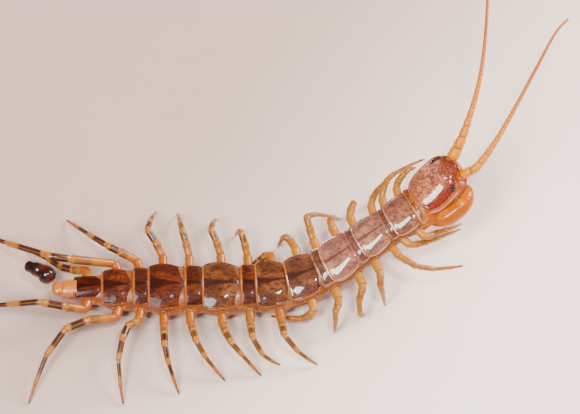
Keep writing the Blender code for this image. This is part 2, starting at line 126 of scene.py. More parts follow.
def station(along):
    """The station at a distance along the back line, which runs on straight past its ends."""
    place = min(max(along, 0.0), BODY_LENGTH - 0.001) / STEP
    index = int(place)
    point = BACK_LINE[index].lerp(BACK_LINE[index + 1], place - index)
    here = Station(point, along)
    past = along - min(max(along, 0.0), BODY_LENGTH)
    here.point = here.point + here.forward * past
    return here


print("head front, mm:", [round(value, 2) for value in station(BODY_LENGTH).point])

# %% [markdown]
# ## Camera
#
# The animal is seen from well above its right side. A long lens keeps the near legs and the far
# legs at one scale, as a close-up lens does from a little way off.

# %% Camera
VIEW_HEIGHT = radians(62.0)
PICTURE_WIDTH = 40.6
LENS = 400.0
SENSOR = 36.0
FOCUS_RISE = 3.0


def add_object(name, data):
    """A new object in the scene."""
    made = bpy.data.objects.new(name, data)
    bpy.context.scene.collection.objects.link(made)
    return made


camera_data = bpy.data.cameras.new("camera")
camera_data.lens = LENS
camera_data.sensor_width = SENSOR
camera_data.clip_start = 0.01
camera_data.clip_end = 10.0
camera = add_object("camera", camera_data)
towards_camera = Vector((0.0, -cos(VIEW_HEIGHT), sin(VIEW_HEIGHT)))
distance = PICTURE_WIDTH * LENS / SENSOR + FOCUS_RISE
camera.location = (PLACE + towards_camera * distance) * MILLIMETRE
camera.rotation_euler = (pi / 2 - VIEW_HEIGHT, 0.0, 0.0)
bpy.context.scene.camera = camera
print("camera stands", round(distance), "mm away")

# %% [markdown]
# ## Light
#
# Polished plates show their light as much as their colour. A tall soft box stands to the left,
# where the raised front plates and the head mirror it as a long streak. A small high one ahead
# of the animal gives the rear plates short sparks near their front edges. A third one on the far
# right lights the floor and isn't mirrored. A dim pale room fills the rest: a brighter one would
# lay a milky veil over the dark shell.

# %% Light
WARM_WHITE = (1.0, 0.95, 0.92)
ROOM_STRENGTH = 0.24
AIM = Vector((0.0, 0.0, 0.004))

world = bpy.data.worlds.new("pale room")
world.use_nodes = True
backdrop = world.node_tree.nodes["Background"]
backdrop.inputs["Color"].default_value = (*WARM_WHITE, 1.0)
backdrop.inputs["Strength"].default_value = ROOM_STRENGTH
bpy.context.scene.world = world


def add_soft_box(name, azimuth, elevation, away, size, power, colour):
    """A flat light that looks at the animal: angles in degrees, lengths in metres."""
    data = bpy.data.lights.new(name, "AREA")
    data.shape = "RECTANGLE"
    data.size, data.size_y = size
    data.energy = power
    data.color = colour
    lamp = add_object(name, data)
    turn, rise = radians(azimuth), radians(elevation)
    back = Vector((sin(turn) * cos(rise), -cos(turn) * cos(rise), sin(rise)))
    lamp.location = back * away + AIM
    lamp.rotation_euler = back.to_track_quat("Z", "Y").to_euler()


add_soft_box("front box", -35.0, 55.0, 0.30, (0.072, 0.135), 1.45, WARM_WHITE)
add_soft_box("high box", 35.0, 72.0, 0.30, (0.024, 0.024), 0.48, WARM_WHITE)
add_soft_box("far box", 120.0, 36.0, 0.24, (0.12, 0.12), 1.42, (1.0, 0.92, 0.87))
print("three soft boxes and a dim room")

# %% [markdown]
# ## Finishes as short sums
#
# A finish is a tree of nodes, and a tree grows long when each sum in it is wired by hand. This
# small class wraps a number socket, so that a sum written on sockets adds its own Math nodes.

# %% Shader sums
def math_method(operation, reflected=False):
    """A method that adds one Math node, its own socket first, or second when reflected."""

    def method(self, other):
        return self.sum(operation, other, self) if reflected else self.sum(operation, self, other)

    return method


class Value:
    """A number socket that can be added, scaled and compared like a number."""

    def __init__(self, tree, socket):
        self.tree = tree
        self.socket = socket

    def sum(self, operation, first, second=None):
        """One Math node on sockets or numbers."""
        made = self.tree.nodes.new("ShaderNodeMath")
        made.operation = operation
        for index, given in enumerate((first, second)):
            if isinstance(given, Value):
                self.tree.links.new(given.socket, made.inputs[index])
            elif given is not None:
                made.inputs[index].default_value = given
        return Value(self.tree, made.outputs[0])

    __add__ = math_method("ADD")
    __radd__ = math_method("ADD", reflected=True)
    __sub__ = math_method("SUBTRACT")
    __rsub__ = math_method("SUBTRACT", reflected=True)
    __mul__ = math_method("MULTIPLY")
    __rmul__ = math_method("MULTIPLY", reflected=True)
    __truediv__ = math_method("DIVIDE")

    def size(self):
        """The value without its sign."""
        return self.sum("ABSOLUTE", self)

    def fraction(self):
        """What is left past the whole number."""
        return self.sum("FRACT", self)

    def rise(self, low, high):
        """0 below low, 1 above high and smooth between them."""
        made = self.tree.nodes.new("ShaderNodeMapRange")
        made.interpolation_type = "SMOOTHSTEP"
        made.inputs["From Min"].default_value = low
        made.inputs["From Max"].default_value = high
        self.tree.links.new(self.socket, made.inputs["Value"])
        return Value(self.tree, made.outputs["Result"])


print("sums can be written on sockets")

# %% [markdown]
# ## One finish
#
# A second class holds one material. It adds a node of any type from its settings and its sockets,
# measures in millimetres on the object, and has short ways to noise, mixed colours and a fine
# relief. A template material could be copied instead, but here each finish reads as one recipe.

# %% Finishes
class Finish:
    """One material, with short ways to add nodes to its tree."""

    def __init__(self, name, plain):
        self.material = bpy.data.materials.new(name)
        self.material.use_nodes = True
        self.tree = self.material.node_tree
        self.shader = self.tree.nodes["Principled BSDF"]
        for title, value in plain.items():
            self.feed(self.shader.inputs[title], value)
        place = self.node("ShaderNodeTexCoord")
        scaled = self.node(
            "ShaderNodeVectorMath",
            {"operation": "SCALE"},
            {0: place.outputs["Object"], "Scale": 1.0 / MILLIMETRE},
        )
        self.millimetres = scaled.outputs[0]

    def feed(self, socket, given):
        """Link a socket to another one, or set it."""
        if isinstance(given, Value):
            self.tree.links.new(given.socket, socket)
        elif isinstance(given, bpy.types.NodeSocket):
            self.tree.links.new(given, socket)
        elif isinstance(given, tuple) and len(given) == 3 and len(socket.default_value) == 4:
            socket.default_value = (*given, 1.0)
        else:
            socket.default_value = given

    def node(self, kind, settings=None, sockets=None):
        """A node of any type: its settings first, then its sockets' values or links."""
        made = self.tree.nodes.new(kind)
        for title, setting in (settings or {}).items():
            if title == "stops":
                self.set_stops(made.color_ramp, setting)
            else:
                setattr(made, title, setting)
        for title, given in (sockets or {}).items():
            self.feed(made.inputs[title], given)
        return made

    def set_stops(self, ramp, stops):
        """The stops of a colour ramp: place and colour."""
        while len(ramp.elements) < len(stops):
            ramp.elements.new(1.0)
        for element, (place, colour) in zip(ramp.elements, stops):
            element.position = place
            element.color = (*colour, 1.0)

    def marked(self, title):
        """A number that the mesh carries on each of its points."""
        made = self.node("ShaderNodeAttribute", {"attribute_name": title})
        return Value(self.tree, made.outputs["Fac"])

    def speckle(self, size, detail=2.0, stretch=(1.0, 1.0, 1.0), offset=0.0):
        """Noise from 0 to 1 whose spots are about size millimetres wide."""
        laid = self.node(
            "ShaderNodeMapping",
            None,
            {"Vector": self.millimetres, "Scale": stretch, "Location": (offset,) * 3},
        )
        made = self.node(
            "ShaderNodeTexNoise",
            None,
            {"Vector": laid.outputs[0], "Scale": 0.5 / size, "Detail": detail},
        )
        return Value(self.tree, made.outputs["Fac"])

    def mixed(self, first, second, part):
        """A colour between two colours."""
        made = self.node("ShaderNodeMix", {"data_type": "RGBA"}, {0: part, 6: first, 7: second})
        return made.outputs[2]

    def ramp(self, value, stops):
        """A colour looked up along a ramp."""
        made = self.node("ShaderNodeValToRGB", {"stops": stops}, {"Fac": value})
        return made.outputs["Color"]

    def colour(self, socket):
        """Give the shader its colour."""
        self.feed(self.shader.inputs["Base Color"], socket)

    def roughness(self, value):
        """Give the shader its roughness."""
        self.feed(self.shader.inputs["Roughness"], value)

    def relief(self, height, depth):
        """A fine relief, its depth in millimetres."""
        made = self.node(
            "ShaderNodeBump",
            None,
            {"Height": height, "Distance": depth * MILLIMETRE, "Strength": 1.0},
        )
        self.feed(self.shader.inputs["Normal"], made.outputs["Normal"])


print("finishes can be mixed")

# %% [markdown]
# ## Sheets
#
# A shell plate is thin, domed and closed all round. It could be cut from a tube, but a sheet of
# squares, doubled into a slab and bent onto the animal, keeps whole faces and a clean edge. Each
# point also carries numbers that the finish reads, such as how far it is from the edge.

# %% Sheets
MARKS = ("across", "ahead", "rear", "side")


def slab(columns, rows):
    """A doubled sheet of squares: x and y from -1 to 1, z 0 on top and -1 below."""
    mesh = bmesh.new()
    bmesh.ops.create_grid(mesh, x_segments=columns, y_segments=rows, size=1.0)
    doubled = bmesh.ops.extrude_face_region(mesh, geom=mesh.faces[:], use_keep_orig=True)
    under = [part for part in doubled["geom"] if isinstance(part, bmesh.types.BMVert)]
    bmesh.ops.translate(mesh, verts=under, vec=(0.0, 0.0, -1.0))
    return mesh


def crowd(value, amount=0.34):
    """Draw lines of a sheet together near its edges."""
    return value * (1.0 + amount * (1.0 - value * value))


def bend(mesh, place, titles=MARKS):
    """Move each point of a slab where place says, and write the numbers that it gives."""
    layers = [mesh.verts.layers.float.new(title) for title in titles]
    for vertex in mesh.verts:
        vertex.co, marks = place(vertex.co.y, vertex.co.x, vertex.co.z < -0.5)
        for layer, mark in zip(layers, marks):
            vertex[layer] = mark
    return mesh


trial = slab(4, 4)
print("a slab reaches from", [round(value, 1) for value in min(v.co[:] for v in trial.verts)])
trial.free()

# %% [markdown]
# ## Rings and tubes
#
# Legs, feelers and skin are hollow shapes, round in section, that swell and narrow along a line.
# A circle drawn from ring to ring by extrusion follows any line, stays closed, and needs only a
# list of places and radii. A curve with a bevel would do for a plain tube, but not for a section
# that changes.

# %% Rings and tubes
def grow(mesh, loop, edges):
    """Extrude an open ring, and give the new ring in the old one's order."""
    grown = bmesh.ops.extrude_edge_only(mesh, edges=edges)["geom"]
    fresh = {part for part in grown if isinstance(part, bmesh.types.BMVert)}
    after = []
    for vertex in loop:
        others = [edge.other_vert(vertex) for edge in vertex.link_edges]
        after.append(next(other for other in others if other in fresh))
    new_edges = [
        part for part in grown
        if isinstance(part, bmesh.types.BMEdge) and fresh.issuperset(part.verts)
    ]
    return after, new_edges


def draw_through(rings, marks, mesh=None):
    """A closed skin over rings of points: a circle is extruded from ring to ring."""
    mesh = mesh or bmesh.new()
    layer = mesh.verts.layers.float.get("ahead") or mesh.verts.layers.float.new("ahead")
    made = bmesh.ops.create_circle(mesh, cap_ends=False, radius=1.0, segments=len(rings[0]))
    loop = made["verts"]
    first = list({edge for vertex in loop for edge in vertex.link_edges})
    edges = first
    for index, (ring, mark) in enumerate(zip(rings, marks)):
        if index:
            loop, edges = grow(mesh, loop, edges)
        for vertex, point in zip(loop, ring):
            vertex.co = point
            vertex[layer] = mark
    bmesh.ops.holes_fill(mesh, edges=first, sides=0)
    bmesh.ops.holes_fill(mesh, edges=edges, sides=0)
    return mesh


def draw_steps(steps, ring_at):
    """A closed skin over the rings, with their marks, that ring_at gives from part 0 to part 1."""
    drawn = [ring_at(index / steps) for index in range(steps + 1)]
    return draw_through([ring for ring, mark in drawn], [mark for ring, mark in drawn])


class Route:
    """A line through points that gives its place and direction at a part of its length."""

    def __init__(self, points):
        self.points = points
        self.lengths = [0.0]
        for first, second in zip(points, points[1:]):
            self.lengths.append(self.lengths[-1] + (second - first).length)
        self.length = self.lengths[-1]

    def point(self, part):
        goal = min(max(part, 0.0), 1.0) * self.length
        index = min(max(1, bisect_left(self.lengths, goal)), len(self.points) - 1)
        span = self.lengths[index] - self.lengths[index - 1]
        share = (goal - self.lengths[index - 1]) / span
        return self.points[index - 1].lerp(self.points[index], share)

    def direction(self, part):
        return (self.point(part + 0.01) - self.point(part - 0.01)).normalized()


def circle(count):
    """Angles all round."""
    return [2.0 * pi * step / count for step in range(count)]


def tube_rings(route, plan, sides, first_side):
    """Rings round a route, each turned on from the last. The plan lists part and radius."""
    rings = []
    side = first_side
    angles = circle(sides)
    for part, radius in plan:
        centre = route.point(part)
        axis = route.direction(part)
        side = (side - axis * side.dot(axis)).normalized()
        other = axis.cross(side)
        rings.append([centre + (side * cos(turn) + other * sin(turn)) * radius for turn in angles])
    return rings


def tube(route, plan, sides, first_side, mesh=None):
    """A closed tube round a route, marked with the part of the route it has reached."""
    rings = tube_rings(route, plan, sides, first_side)
    return draw_through(rings, [part for part, radius in plan], mesh)


def smooth_path(points, steps):
    """A Catmull-Rom curve through points."""
    route = [Vector(point) for point in points]
    ends = [route[0] * 2 - route[1]] + route + [route[-1] * 2 - route[-2]]
    curve = []
    for before, start, end, after in zip(ends, ends[1:], ends[2:], ends[3:]):
        for step in range(steps):
            t = step / steps
            curve.append(0.5 * (
                2 * start
                + (end - before) * t
                + (2 * before - 5 * start + 4 * end - after) * t * t
                + (3 * start - before - 3 * end + after) * t * t * t
            ))
    curve.append(route[-1])
    return curve


def mean(points):
    """The middle of some points."""
    return sum(points, Vector((0.0, 0.0, 0.0))) / len(points)


def mirrored(half, steps):
    """Across and depth all round, from the smooth left half of a section."""
    curve = smooth_path([(across, depth, 0.0) for across, depth in half], steps)
    left = [(point.x, point.y) for point in curve]
    return left + [(-across, depth) for across, depth in left[-2:0:-1]]


print("tubes can follow a route")

# %% [markdown]
# ## Finished pieces
#
# Every piece ends the same way. Its mesh is scaled to metres, its sharp edges are kept sharp, and
# it is set in place of the plain solids that it stands for. One function does this for all.

# %% Finished pieces
# Edges that turn more than this stay sharp
SHARP_ANGLE = radians(55.0)


def gather(whole, small):
    """Add a small mesh to a whole one."""
    scrap = bpy.data.meshes.new("scrap")
    small.to_mesh(scrap)
    small.free()
    whole.from_mesh(scrap)
    bpy.data.meshes.remove(scrap)


def add_mesh(name, mesh, finish):
    """An object with its finish, from a mesh in metres."""
    data = bpy.data.meshes.new(name)
    mesh.to_mesh(data)
    mesh.free()
    data.materials.append(finish.material)
    return add_object(name, data)


def finish_piece(name, mesh, finish, slot, *nodes):
    """Scale a mesh to metres, make it an object, and set it in place of its plain nodes."""
    bmesh.ops.recalc_face_normals(mesh, faces=mesh.faces)
    for face in mesh.faces:
        face.smooth = True
    for edge in mesh.edges:
        edge.smooth = edge.calc_face_angle(0.0) < SHARP_ANGLE
    for vertex in mesh.verts:
        vertex.co = (vertex.co + PLACE) * MILLIMETRE
    made = add_mesh(name, mesh, finish)
    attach(made, "root")
    if nodes:
        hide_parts(*nodes)
    return made


print("pieces can be finished")

# %% [markdown]
# ## Finish of the back plates
#
# A back plate is hard, clear and polished over mottled pigment. The rear plates are mahogany red
# with a dark wedge on the midline and a tan band along their rear edge. The front ones are
# pinkish brown and finely mottled, with a thin pale rim. Their pale pink tone, and the lighter tone
# of plate 7, is partly their own colour and partly a painted sheen: the milky reflection that the
# raised front of the back shows. One function mixes all of them, because only colours and widths
# change. The numbers that each point carries (across, ahead, and the millimetres to the rear and
# side edges) keep the pattern on the plate wherever it lies.

# %% Finish of the back plates
def plate_finish(name, ground, warm, dark, border, wedge, band, gloss):
    """Polished, mottled shell with a dark midline and a pale rear band."""
    made = Finish(name, {"Coat Weight": gloss, "Coat Roughness": 0.05, "Specular IOR Level": 0.06})
    across = made.marked("across")
    ahead = made.marked("ahead")
    mottle = made.speckle(0.13, 4.0, (0.8, 1.1, 1.0))
    grain = made.speckle(0.045, 3.0, (0.45, 1.3, 1.0), 7.0)
    patches = made.speckle(0.60, 2.0, (0.9, 1.1, 1.0), 3.0)
    base = made.mixed(ground, warm, (patches * 0.75 + mottle * 0.25).rise(0.42, 0.60))
    flecks = made.mixed(base, dark, (mottle * 0.6 + grain * 0.45).rise(0.48, 0.62) * 0.75)
    width = wedge * (1.0 - ahead) * (1.0 - ahead) + 0.035
    line = 1.0 - ((across.size() + (mottle - 0.5) * 0.06) / width).rise(0.5, 1.4)
    lined = made.mixed(flecks, dark, line * (0.85 if wedge else 0.0))
    flank = 1.0 - (across.size() - 0.66).size().rise(0.02, 0.26)
    middle = 1.0 - (ahead - 0.42).size().rise(0.05, 0.38)
    blotched = made.mixed(lined, dark, flank * middle * patches.rise(0.38, 0.56) * 0.7)
    from_rear = made.marked("rear") + (mottle - 0.5) * 0.10
    banded = made.mixed(border, blotched, from_rear.rise(band * 0.6, band * 1.25))
    made.colour(made.mixed(border, banded, made.marked("side").rise(0.03, 0.10)))
    made.roughness(0.16 + grain * 0.12)
    made.relief(mottle * 0.8 + grain * 0.4 + patches, 0.036)
    return made


# Ground, warm, dark and border colour, width of the wedge and of the border, and gloss
PLATE_LOOKS = {
    "last plate": (
        (0.036, 0.0060, 0.0025), (0.075, 0.0110, 0.0030), (0.014, 0.0030, 0.0025),
        (0.30, 0.070, 0.012), 0.35, 0.10, 0.05,
    ),
    "rear plate": (
        (0.064, 0.0125, 0.0052), (0.132, 0.0265, 0.0085), (0.020, 0.0042, 0.0036),
        (0.25, 0.062, 0.011), 0.40, 0.19, 0.05,
    ),
    "middle plate": (
        (0.085, 0.0260, 0.0090), (0.170, 0.0520, 0.0150), (0.022, 0.0065, 0.0060),
        (0.26, 0.085, 0.017), 0.22, 0.16, 0.28,
    ),
    # Plate 7 is a little lighter than the middle plates: a painted sheen where the back rises.
    "shoulder plate": (
        (0.105, 0.0345, 0.0145), (0.205, 0.0680, 0.0240), (0.030, 0.0090, 0.0085),
        (0.32, 0.110, 0.030), 0.20, 0.14, 0.80,
    ),
    # The front plates' pale pink is partly their own colour, partly a painted sheen.
    "front plate": (
        (0.270, 0.1050, 0.0640), (0.410, 0.1700, 0.1000), (0.095, 0.0330, 0.0300),
        (0.52, 0.210, 0.105), 0.09, 0.10, 0.95,
    ),
    # The neck plate's pale tone is partly its own colour, partly a painted sheen.
    "neck plate": (
        (0.210, 0.0680, 0.0370), (0.350, 0.1250, 0.0660), (0.072, 0.0210, 0.0190),
        (0.50, 0.190, 0.080), 0.0, 0.09, 0.95,
    ),
    "strip plate": (
        (0.056, 0.0115, 0.0048), (0.108, 0.0235, 0.0070), (0.018, 0.0047, 0.0042),
        (0.24, 0.068, 0.013), 0.16, 0.19, 0.10,
    ),
    # The front strips' pale tone is partly their own colour, partly a painted sheen.
    "front strip": (
        (0.150, 0.0520, 0.0320), (0.240, 0.0880, 0.0500), (0.050, 0.0160, 0.0150),
        (0.44, 0.170, 0.080), 0.0, 0.08, 0.70,
    ),
}
PLATE_FINISHES = {name: plate_finish(name, *look) for name, look in PLATE_LOOKS.items()}
print(len(PLATE_FINISHES), "plate finishes")

# %% [markdown]
# ## Where the segments lie
#
# Each trunk segment carries one back plate and one pair of legs. Plates 1, 3, 5, 7, 8, 10, 12 and
# 14 are long, the others are short strips that lie tucked below their neighbours. The table is
# written from the tail to the head, and every later step asks it where a segment is.

# %% Where the segments lie
# Number, length with its gap, half width, where its legs stand, from the rear, and finish
SEGMENTS = (
    (15, 2.00, 1.00, 0.50, "last plate"),
    (14, 2.15, 1.46, 0.52, "rear plate"),
    (13, 1.10, 1.62, 0.50, "strip plate"),
    (12, 2.50, 1.84, 0.42, "rear plate"),
    (11, 1.30, 1.76, 0.30, "strip plate"),
    (10, 2.60, 1.90, 0.50, "middle plate"),
    (9, 1.10, 1.76, 0.55, "strip plate"),
    (8, 2.15, 1.83, 0.62, "middle plate"),
    (7, 2.10, 1.74, 0.52, "shoulder plate"),
    (6, 0.95, 1.66, 0.50, "front strip"),
    (5, 1.90, 1.66, 0.66, "front plate"),
    (4, 0.88, 1.54, 0.92, "front strip"),
    (3, 1.90, 1.46, 0.78, "front plate"),
    (2, 0.78, 1.38, 0.65, "front strip"),
    (1, 1.45, 1.48, 0.66, "neck plate"),
)
TAIL_LENGTH = 1.5
COLLAR_LENGTH = 0.62

PLACES = {}
segment_start = TAIL_LENGTH
for number, length, half_width, leg_part, look in SEGMENTS:
    segment_end = segment_start + length
    leg_along = segment_start + length * leg_part
    PLACES[number] = (segment_start, segment_end, half_width, leg_along)
    segment_start = segment_end
COLLAR_START = segment_start
HEAD_START = COLLAR_START + COLLAR_LENGTH


def body_height(half_width):
    """Depth of the trunk from its back to its belly."""
    return 0.42 + 0.82 * half_width


def bump(value, place, width):
    """A soft hump of height 1 round a place."""
    return exp(-(((value - place) / width) ** 2))


print("trunk from", TAIL_LENGTH, "to", round(COLLAR_START, 2), "mm along the back")

# %% [markdown]
# ## Back plates
#
# Every plate is a thin shell, domed both ways, with rounded corners and a raised bead along its
# sides and rear that is sharpest on the front plates. A bent slab gives the dome, the bead, the
# overlap and the thin edge in one go, where a carved solid would need a cut for each.

# %% Back plates
LONG_PLATES = (1, 3, 5, 7, 8, 10, 12, 14)
# Squares of a sheet: ahead on a long and on a short plate, and across on both
LONG_SQUARES = 36
SHORT_SQUARES = 24
CROSS_SQUARES = 52
PLATE_DEPTH = 0.315
PLATE_CURVE = 2.0
PLATE_THICK = 0.09
UNDERSIDE_SHARE = 0.985
END_SHARE = 0.25
EDGE_FALL = 0.035
BEAD_PLACE = 0.060
BEAD_WIDTH = 0.040
GROOVE_PLACE = 0.155
GROOVE_WIDTH = 0.050
FURROW_DEPTH = 0.015
FURROW_PLACE = 0.30
FURROW_WIDTH = 0.10
# How a plate is cut: corners, widths, dome and bead, and how it overlaps its neighbours
LONG_PLAN = {
    "front_corner": 0.16, "rear_corner": 0.09, "rear": 0.90, "front": 0.80, "belly": 0.17,
    "dome": 0.18, "bead": 0.020, "tuck": 0.06, "lip": 0.10, "hollow": 0.06,
    "over": 0.14, "under": 0.10,
}
SHORT_PLAN = {
    "front_corner": 0.10, "rear_corner": 0.10, "rear": 0.92, "front": 0.88, "belly": 0.02,
    "dome": 0.05, "bead": 0.020, "tuck": 0.08, "lip": 0.03, "hollow": 0.05,
    "over": 0.06, "under": 0.10,
}


def lay_plate(mesh, start, end, half_width, plan):
    """Bend a slab onto the back, from start to end along the back line."""
    height = body_height(half_width)
    length = end - start

    def place(across, ahead, below):
        across, ahead = crowd(across), crowd(ahead)
        rounding = plan["front_corner"] if ahead > 0.0 else plan["rear_corner"]
        corner = 1.0 - rounding * (across * ahead) ** 4
        share = (ahead * corner + 1.0) / 2.0
        wide = half_width * blend(plan["rear"], plan["front"], ease(share))
        wide *= 1.0 + plan["belly"] * (1.0 - (2.0 * share - 1.0) ** 2)
        rear = length * (1.0 + ahead) / 2.0
        flank = half_width * (1.0 - abs(across))
        edge = min(rear, flank)
        rim = min(edge, length - rear)
        side = across * corner
        depth = height * PLATE_DEPTH * abs(side) ** PLATE_CURVE
        depth += plan["dome"] * (2.0 * share - 1.0) ** 2
        depth += plan["tuck"] * max(0.0, (share - (1.0 - END_SHARE)) / END_SHARE) ** 2
        depth -= plan["lip"] * max(0.0, (END_SHARE - share) / END_SHARE) ** 2
        fade = min(1.0, (1.0 - ahead) / END_SHARE)
        depth -= plan["bead"] * bump(edge, BEAD_PLACE, BEAD_WIDTH) * fade
        depth += plan["bead"] * 0.5 * bump(edge, GROOVE_PLACE, GROOVE_WIDTH) * fade
        depth += FURROW_DEPTH * bump(abs(side), FURROW_PLACE, FURROW_WIDTH) * (1.0 - abs(ahead))
        if rim < BEAD_PLACE:
            depth += EDGE_FALL * (1.0 - rim / BEAD_PLACE) ** 2
        if below:
            depth += PLATE_THICK
            side *= UNDERSIDE_SHARE
        along = start + length * share + plan["hollow"] * (1.0 - across * across) * (1.0 - share)
        return station(along).at(0.0, side * wide, depth), (across, share, rear, flank)

    return bend(mesh, place)


def plate_plan(number):
    """The plan of a plate: towards the head the long ones are flatter and the bead is higher."""
    plan = dict(LONG_PLAN if number in LONG_PLATES else SHORT_PLAN)
    if number <= 11:
        plan["bead"] = 0.030
    if number <= 6:
        plan["bead"] = 0.070
    if number in (7, 8):
        plan["dome"] = 0.10
    if number in (1, 3, 5):
        plan.update({"rear_corner": 0.13, "dome": 0.05, "over": 0.42})
    if number == 1:
        plan.update({"front": 0.93, "belly": 0.08})
    return plan


for number, length, half_width, leg_part, look in SEGMENTS:
    plan = plate_plan(number)
    start, end = PLACES[number][:2]
    sheet = slab(LONG_SQUARES if number in LONG_PLATES else SHORT_SQUARES, CROSS_SQUARES)
    lay_plate(sheet, start - plan["over"], end + plan["under"], half_width, plan)
    node = "trunk_%02d" % number
    finish_piece("back_plate_%02d" % number, sheet, PLATE_FINISHES[look], "plate_brown", node)
print(len(PLACES), "back plates laid")

# %% [markdown]
# ## Soft skin
#
# Below the plates the trunk is soft: one brown-orange skin runs from the tail to the neck, pinched
# between the segments and swollen where each leg is seated. It is drawn through rings along the
# back line, so that the side folds follow the body round its bend.

# %% Soft skin
# Across in half widths of the trunk and depth in depths of it, from the back to the belly
SKIN_HALF = (
    (0.00, 0.09), (0.40, 0.12), (0.72, 0.24), (0.86, 0.35), (0.89, 0.43), (0.99, 0.53),
    (1.03, 0.65), (0.98, 0.80), (0.77, 0.92), (0.40, 0.985), (0.00, 1.00),
)
SKIN_SECTION = mirrored(SKIN_HALF, 2)
SKIN_START = 1.15
SKIN_END = 27.25
SKIN_STEP = 0.12
SKIN_PINCH = 0.055
NECK_HALF_WIDTH = 1.18
LEG_DEPTH = 0.64

WIDTH_STOPS = [(0.0, 0.60), (TAIL_LENGTH, 0.72)]
for start, end, half_width, leg_along in PLACES.values():
    WIDTH_STOPS.append(((start + end) / 2, half_width))
WIDTH_STOPS += [(COLLAR_START + 0.3, 1.50), (HEAD_START + 0.4, NECK_HALF_WIDTH)]
SEAMS = [place[0] for place in PLACES.values()] + [COLLAR_START]


def trunk_half_width(along):
    """Half width of the trunk, eased from segment to segment."""
    for (low, first), (high, second) in zip(WIDTH_STOPS, WIDTH_STOPS[1:]):
        if along <= high:
            return blend(first, second, ease((along - low) / (high - low)))
    return WIDTH_STOPS[-1][1]


def skin_ring(part):
    """One ring of skin: pinched at a seam, swollen at a leg and folded along the side."""
    along = blend(SKIN_START, SKIN_END, part)
    here = station(along)
    width = trunk_half_width(along)
    height = body_height(width)
    pinch = 1.0 - SKIN_PINCH * max(bump(along, seam, 0.20) for seam in SEAMS)
    seat = max(bump(along, place[3], 0.36) for place in PLACES.values())
    ring = []
    for across, depth in SKIN_SECTION:
        swell = 1.0 + 0.07 * seat * bump(depth, LEG_DEPTH, 0.16) * abs(across)
        fold = 1.0 - 0.03 * bump(depth, 0.46, 0.04) * abs(across)
        ring.append(here.at(0.0, across * width * pinch * swell * fold, depth * height))
    return ring, along


def soft(scale, radius, coat, coat_roughness, specular=0.5):
    """Settings of flesh and thin shell, which let a little light through."""
    return {
        "Subsurface Weight": 0.15, "Subsurface Scale": scale, "Subsurface Radius": radius,
        "Coat Weight": coat, "Coat Roughness": coat_roughness, "Specular IOR Level": specular,
    }


def flesh_finish(name, ground, dark, pale, depth):
    """Soft skin with dark flecks."""
    made = Finish(name, soft(0.0004, (1.0, 0.45, 0.2), 0.3, 0.12))
    cloud = made.speckle(0.45, 3.0)
    flecks = made.speckle(0.14, 4.0, offset=5.0)
    base = made.mixed(ground, pale, cloud.rise(0.45, 0.66))
    made.colour(made.mixed(base, dark, (flecks * 0.7 + cloud * 0.4).rise(0.56, 0.74) * 0.85))
    made.roughness(0.26 + flecks * 0.2)
    made.relief(flecks * 0.5 + cloud, depth)
    return made


SKIN = flesh_finish(
    "soft skin", (0.20, 0.050, 0.007), (0.045, 0.011, 0.006), (0.34, 0.115, 0.020), 0.05,
)
skin_mesh = draw_steps(int((SKIN_END - SKIN_START) / SKIN_STEP), skin_ring)
skin = finish_piece("soft_skin", skin_mesh, SKIN, "leg_amber", "trunk_01")
print("soft skin:", len(skin.data.polygons), "faces")

# %% [markdown]
# ## Belly plates and side plates
#
# A smooth shield covers each segment from below, and small round plates stiffen the soft side
# above every leg. The shields are slabs bent under the body. The side plates are pressed balls,
# the simplest closed shape with a soft edge.

# %% Belly plates and side plates
BELLY_SHARE = 0.66
# Ahead of the leg, depth, length and height of the side plates of one segment
SIDE_PLATES = (
    (0.02, 0.475, 0.46, 0.24),
    (-0.36, 0.56, 0.30, 0.22),
    (0.34, 0.56, 0.30, 0.24),
    (0.30, 0.80, 0.34, 0.20),
    (-0.28, 0.82, 0.30, 0.18),
)
# Side plates deeper than this lie under the bulge and lean inwards
BULGE_DEPTH = 0.7


def lay_belly_plate(mesh, start, end, half_width):
    """Bend a slab under the belly."""
    height = body_height(half_width)

    def place(across, ahead, below):
        across, ahead = crowd(across), crowd(ahead)
        corner = 1.0 - 0.14 * (across * ahead) ** 4
        share = (ahead * corner + 1.0) / 2.0
        rear = (end - start) * (1.0 + ahead) / 2.0
        flank = half_width * (1.0 - abs(across))
        edge = min(rear, end - start - rear, flank)
        wide = half_width * BELLY_SHARE * blend(0.84, 1.0, share)
        depth = height * (1.005 - 0.075 * abs(across) ** 2.4) + 0.03
        depth -= 0.05 * (1.0 - min(1.0, edge / 0.10)) ** 2
        if below:
            depth -= PLATE_THICK
        here = station(blend(start, end, share))
        return here.at(0.0, across * corner * wide, depth), (across, share, rear, flank)

    return bend(mesh, place)


def add_pressed_ball(mesh, centre, out, forward, length, height, thick):
    """A ball pressed flat against the side, longest along forward."""
    upright = out.cross(forward).normalized()
    lengthwise = upright.cross(out).normalized()
    turn = Matrix((lengthwise, upright, out.normalized())).transposed().to_4x4()
    scale = Matrix.Diagonal((length / 2, height / 2, thick, 1.0))
    laid = Matrix.Translation(centre) @ turn @ scale
    bmesh.ops.create_uvsphere(mesh, u_segments=14, v_segments=8, radius=1.0, matrix=laid)


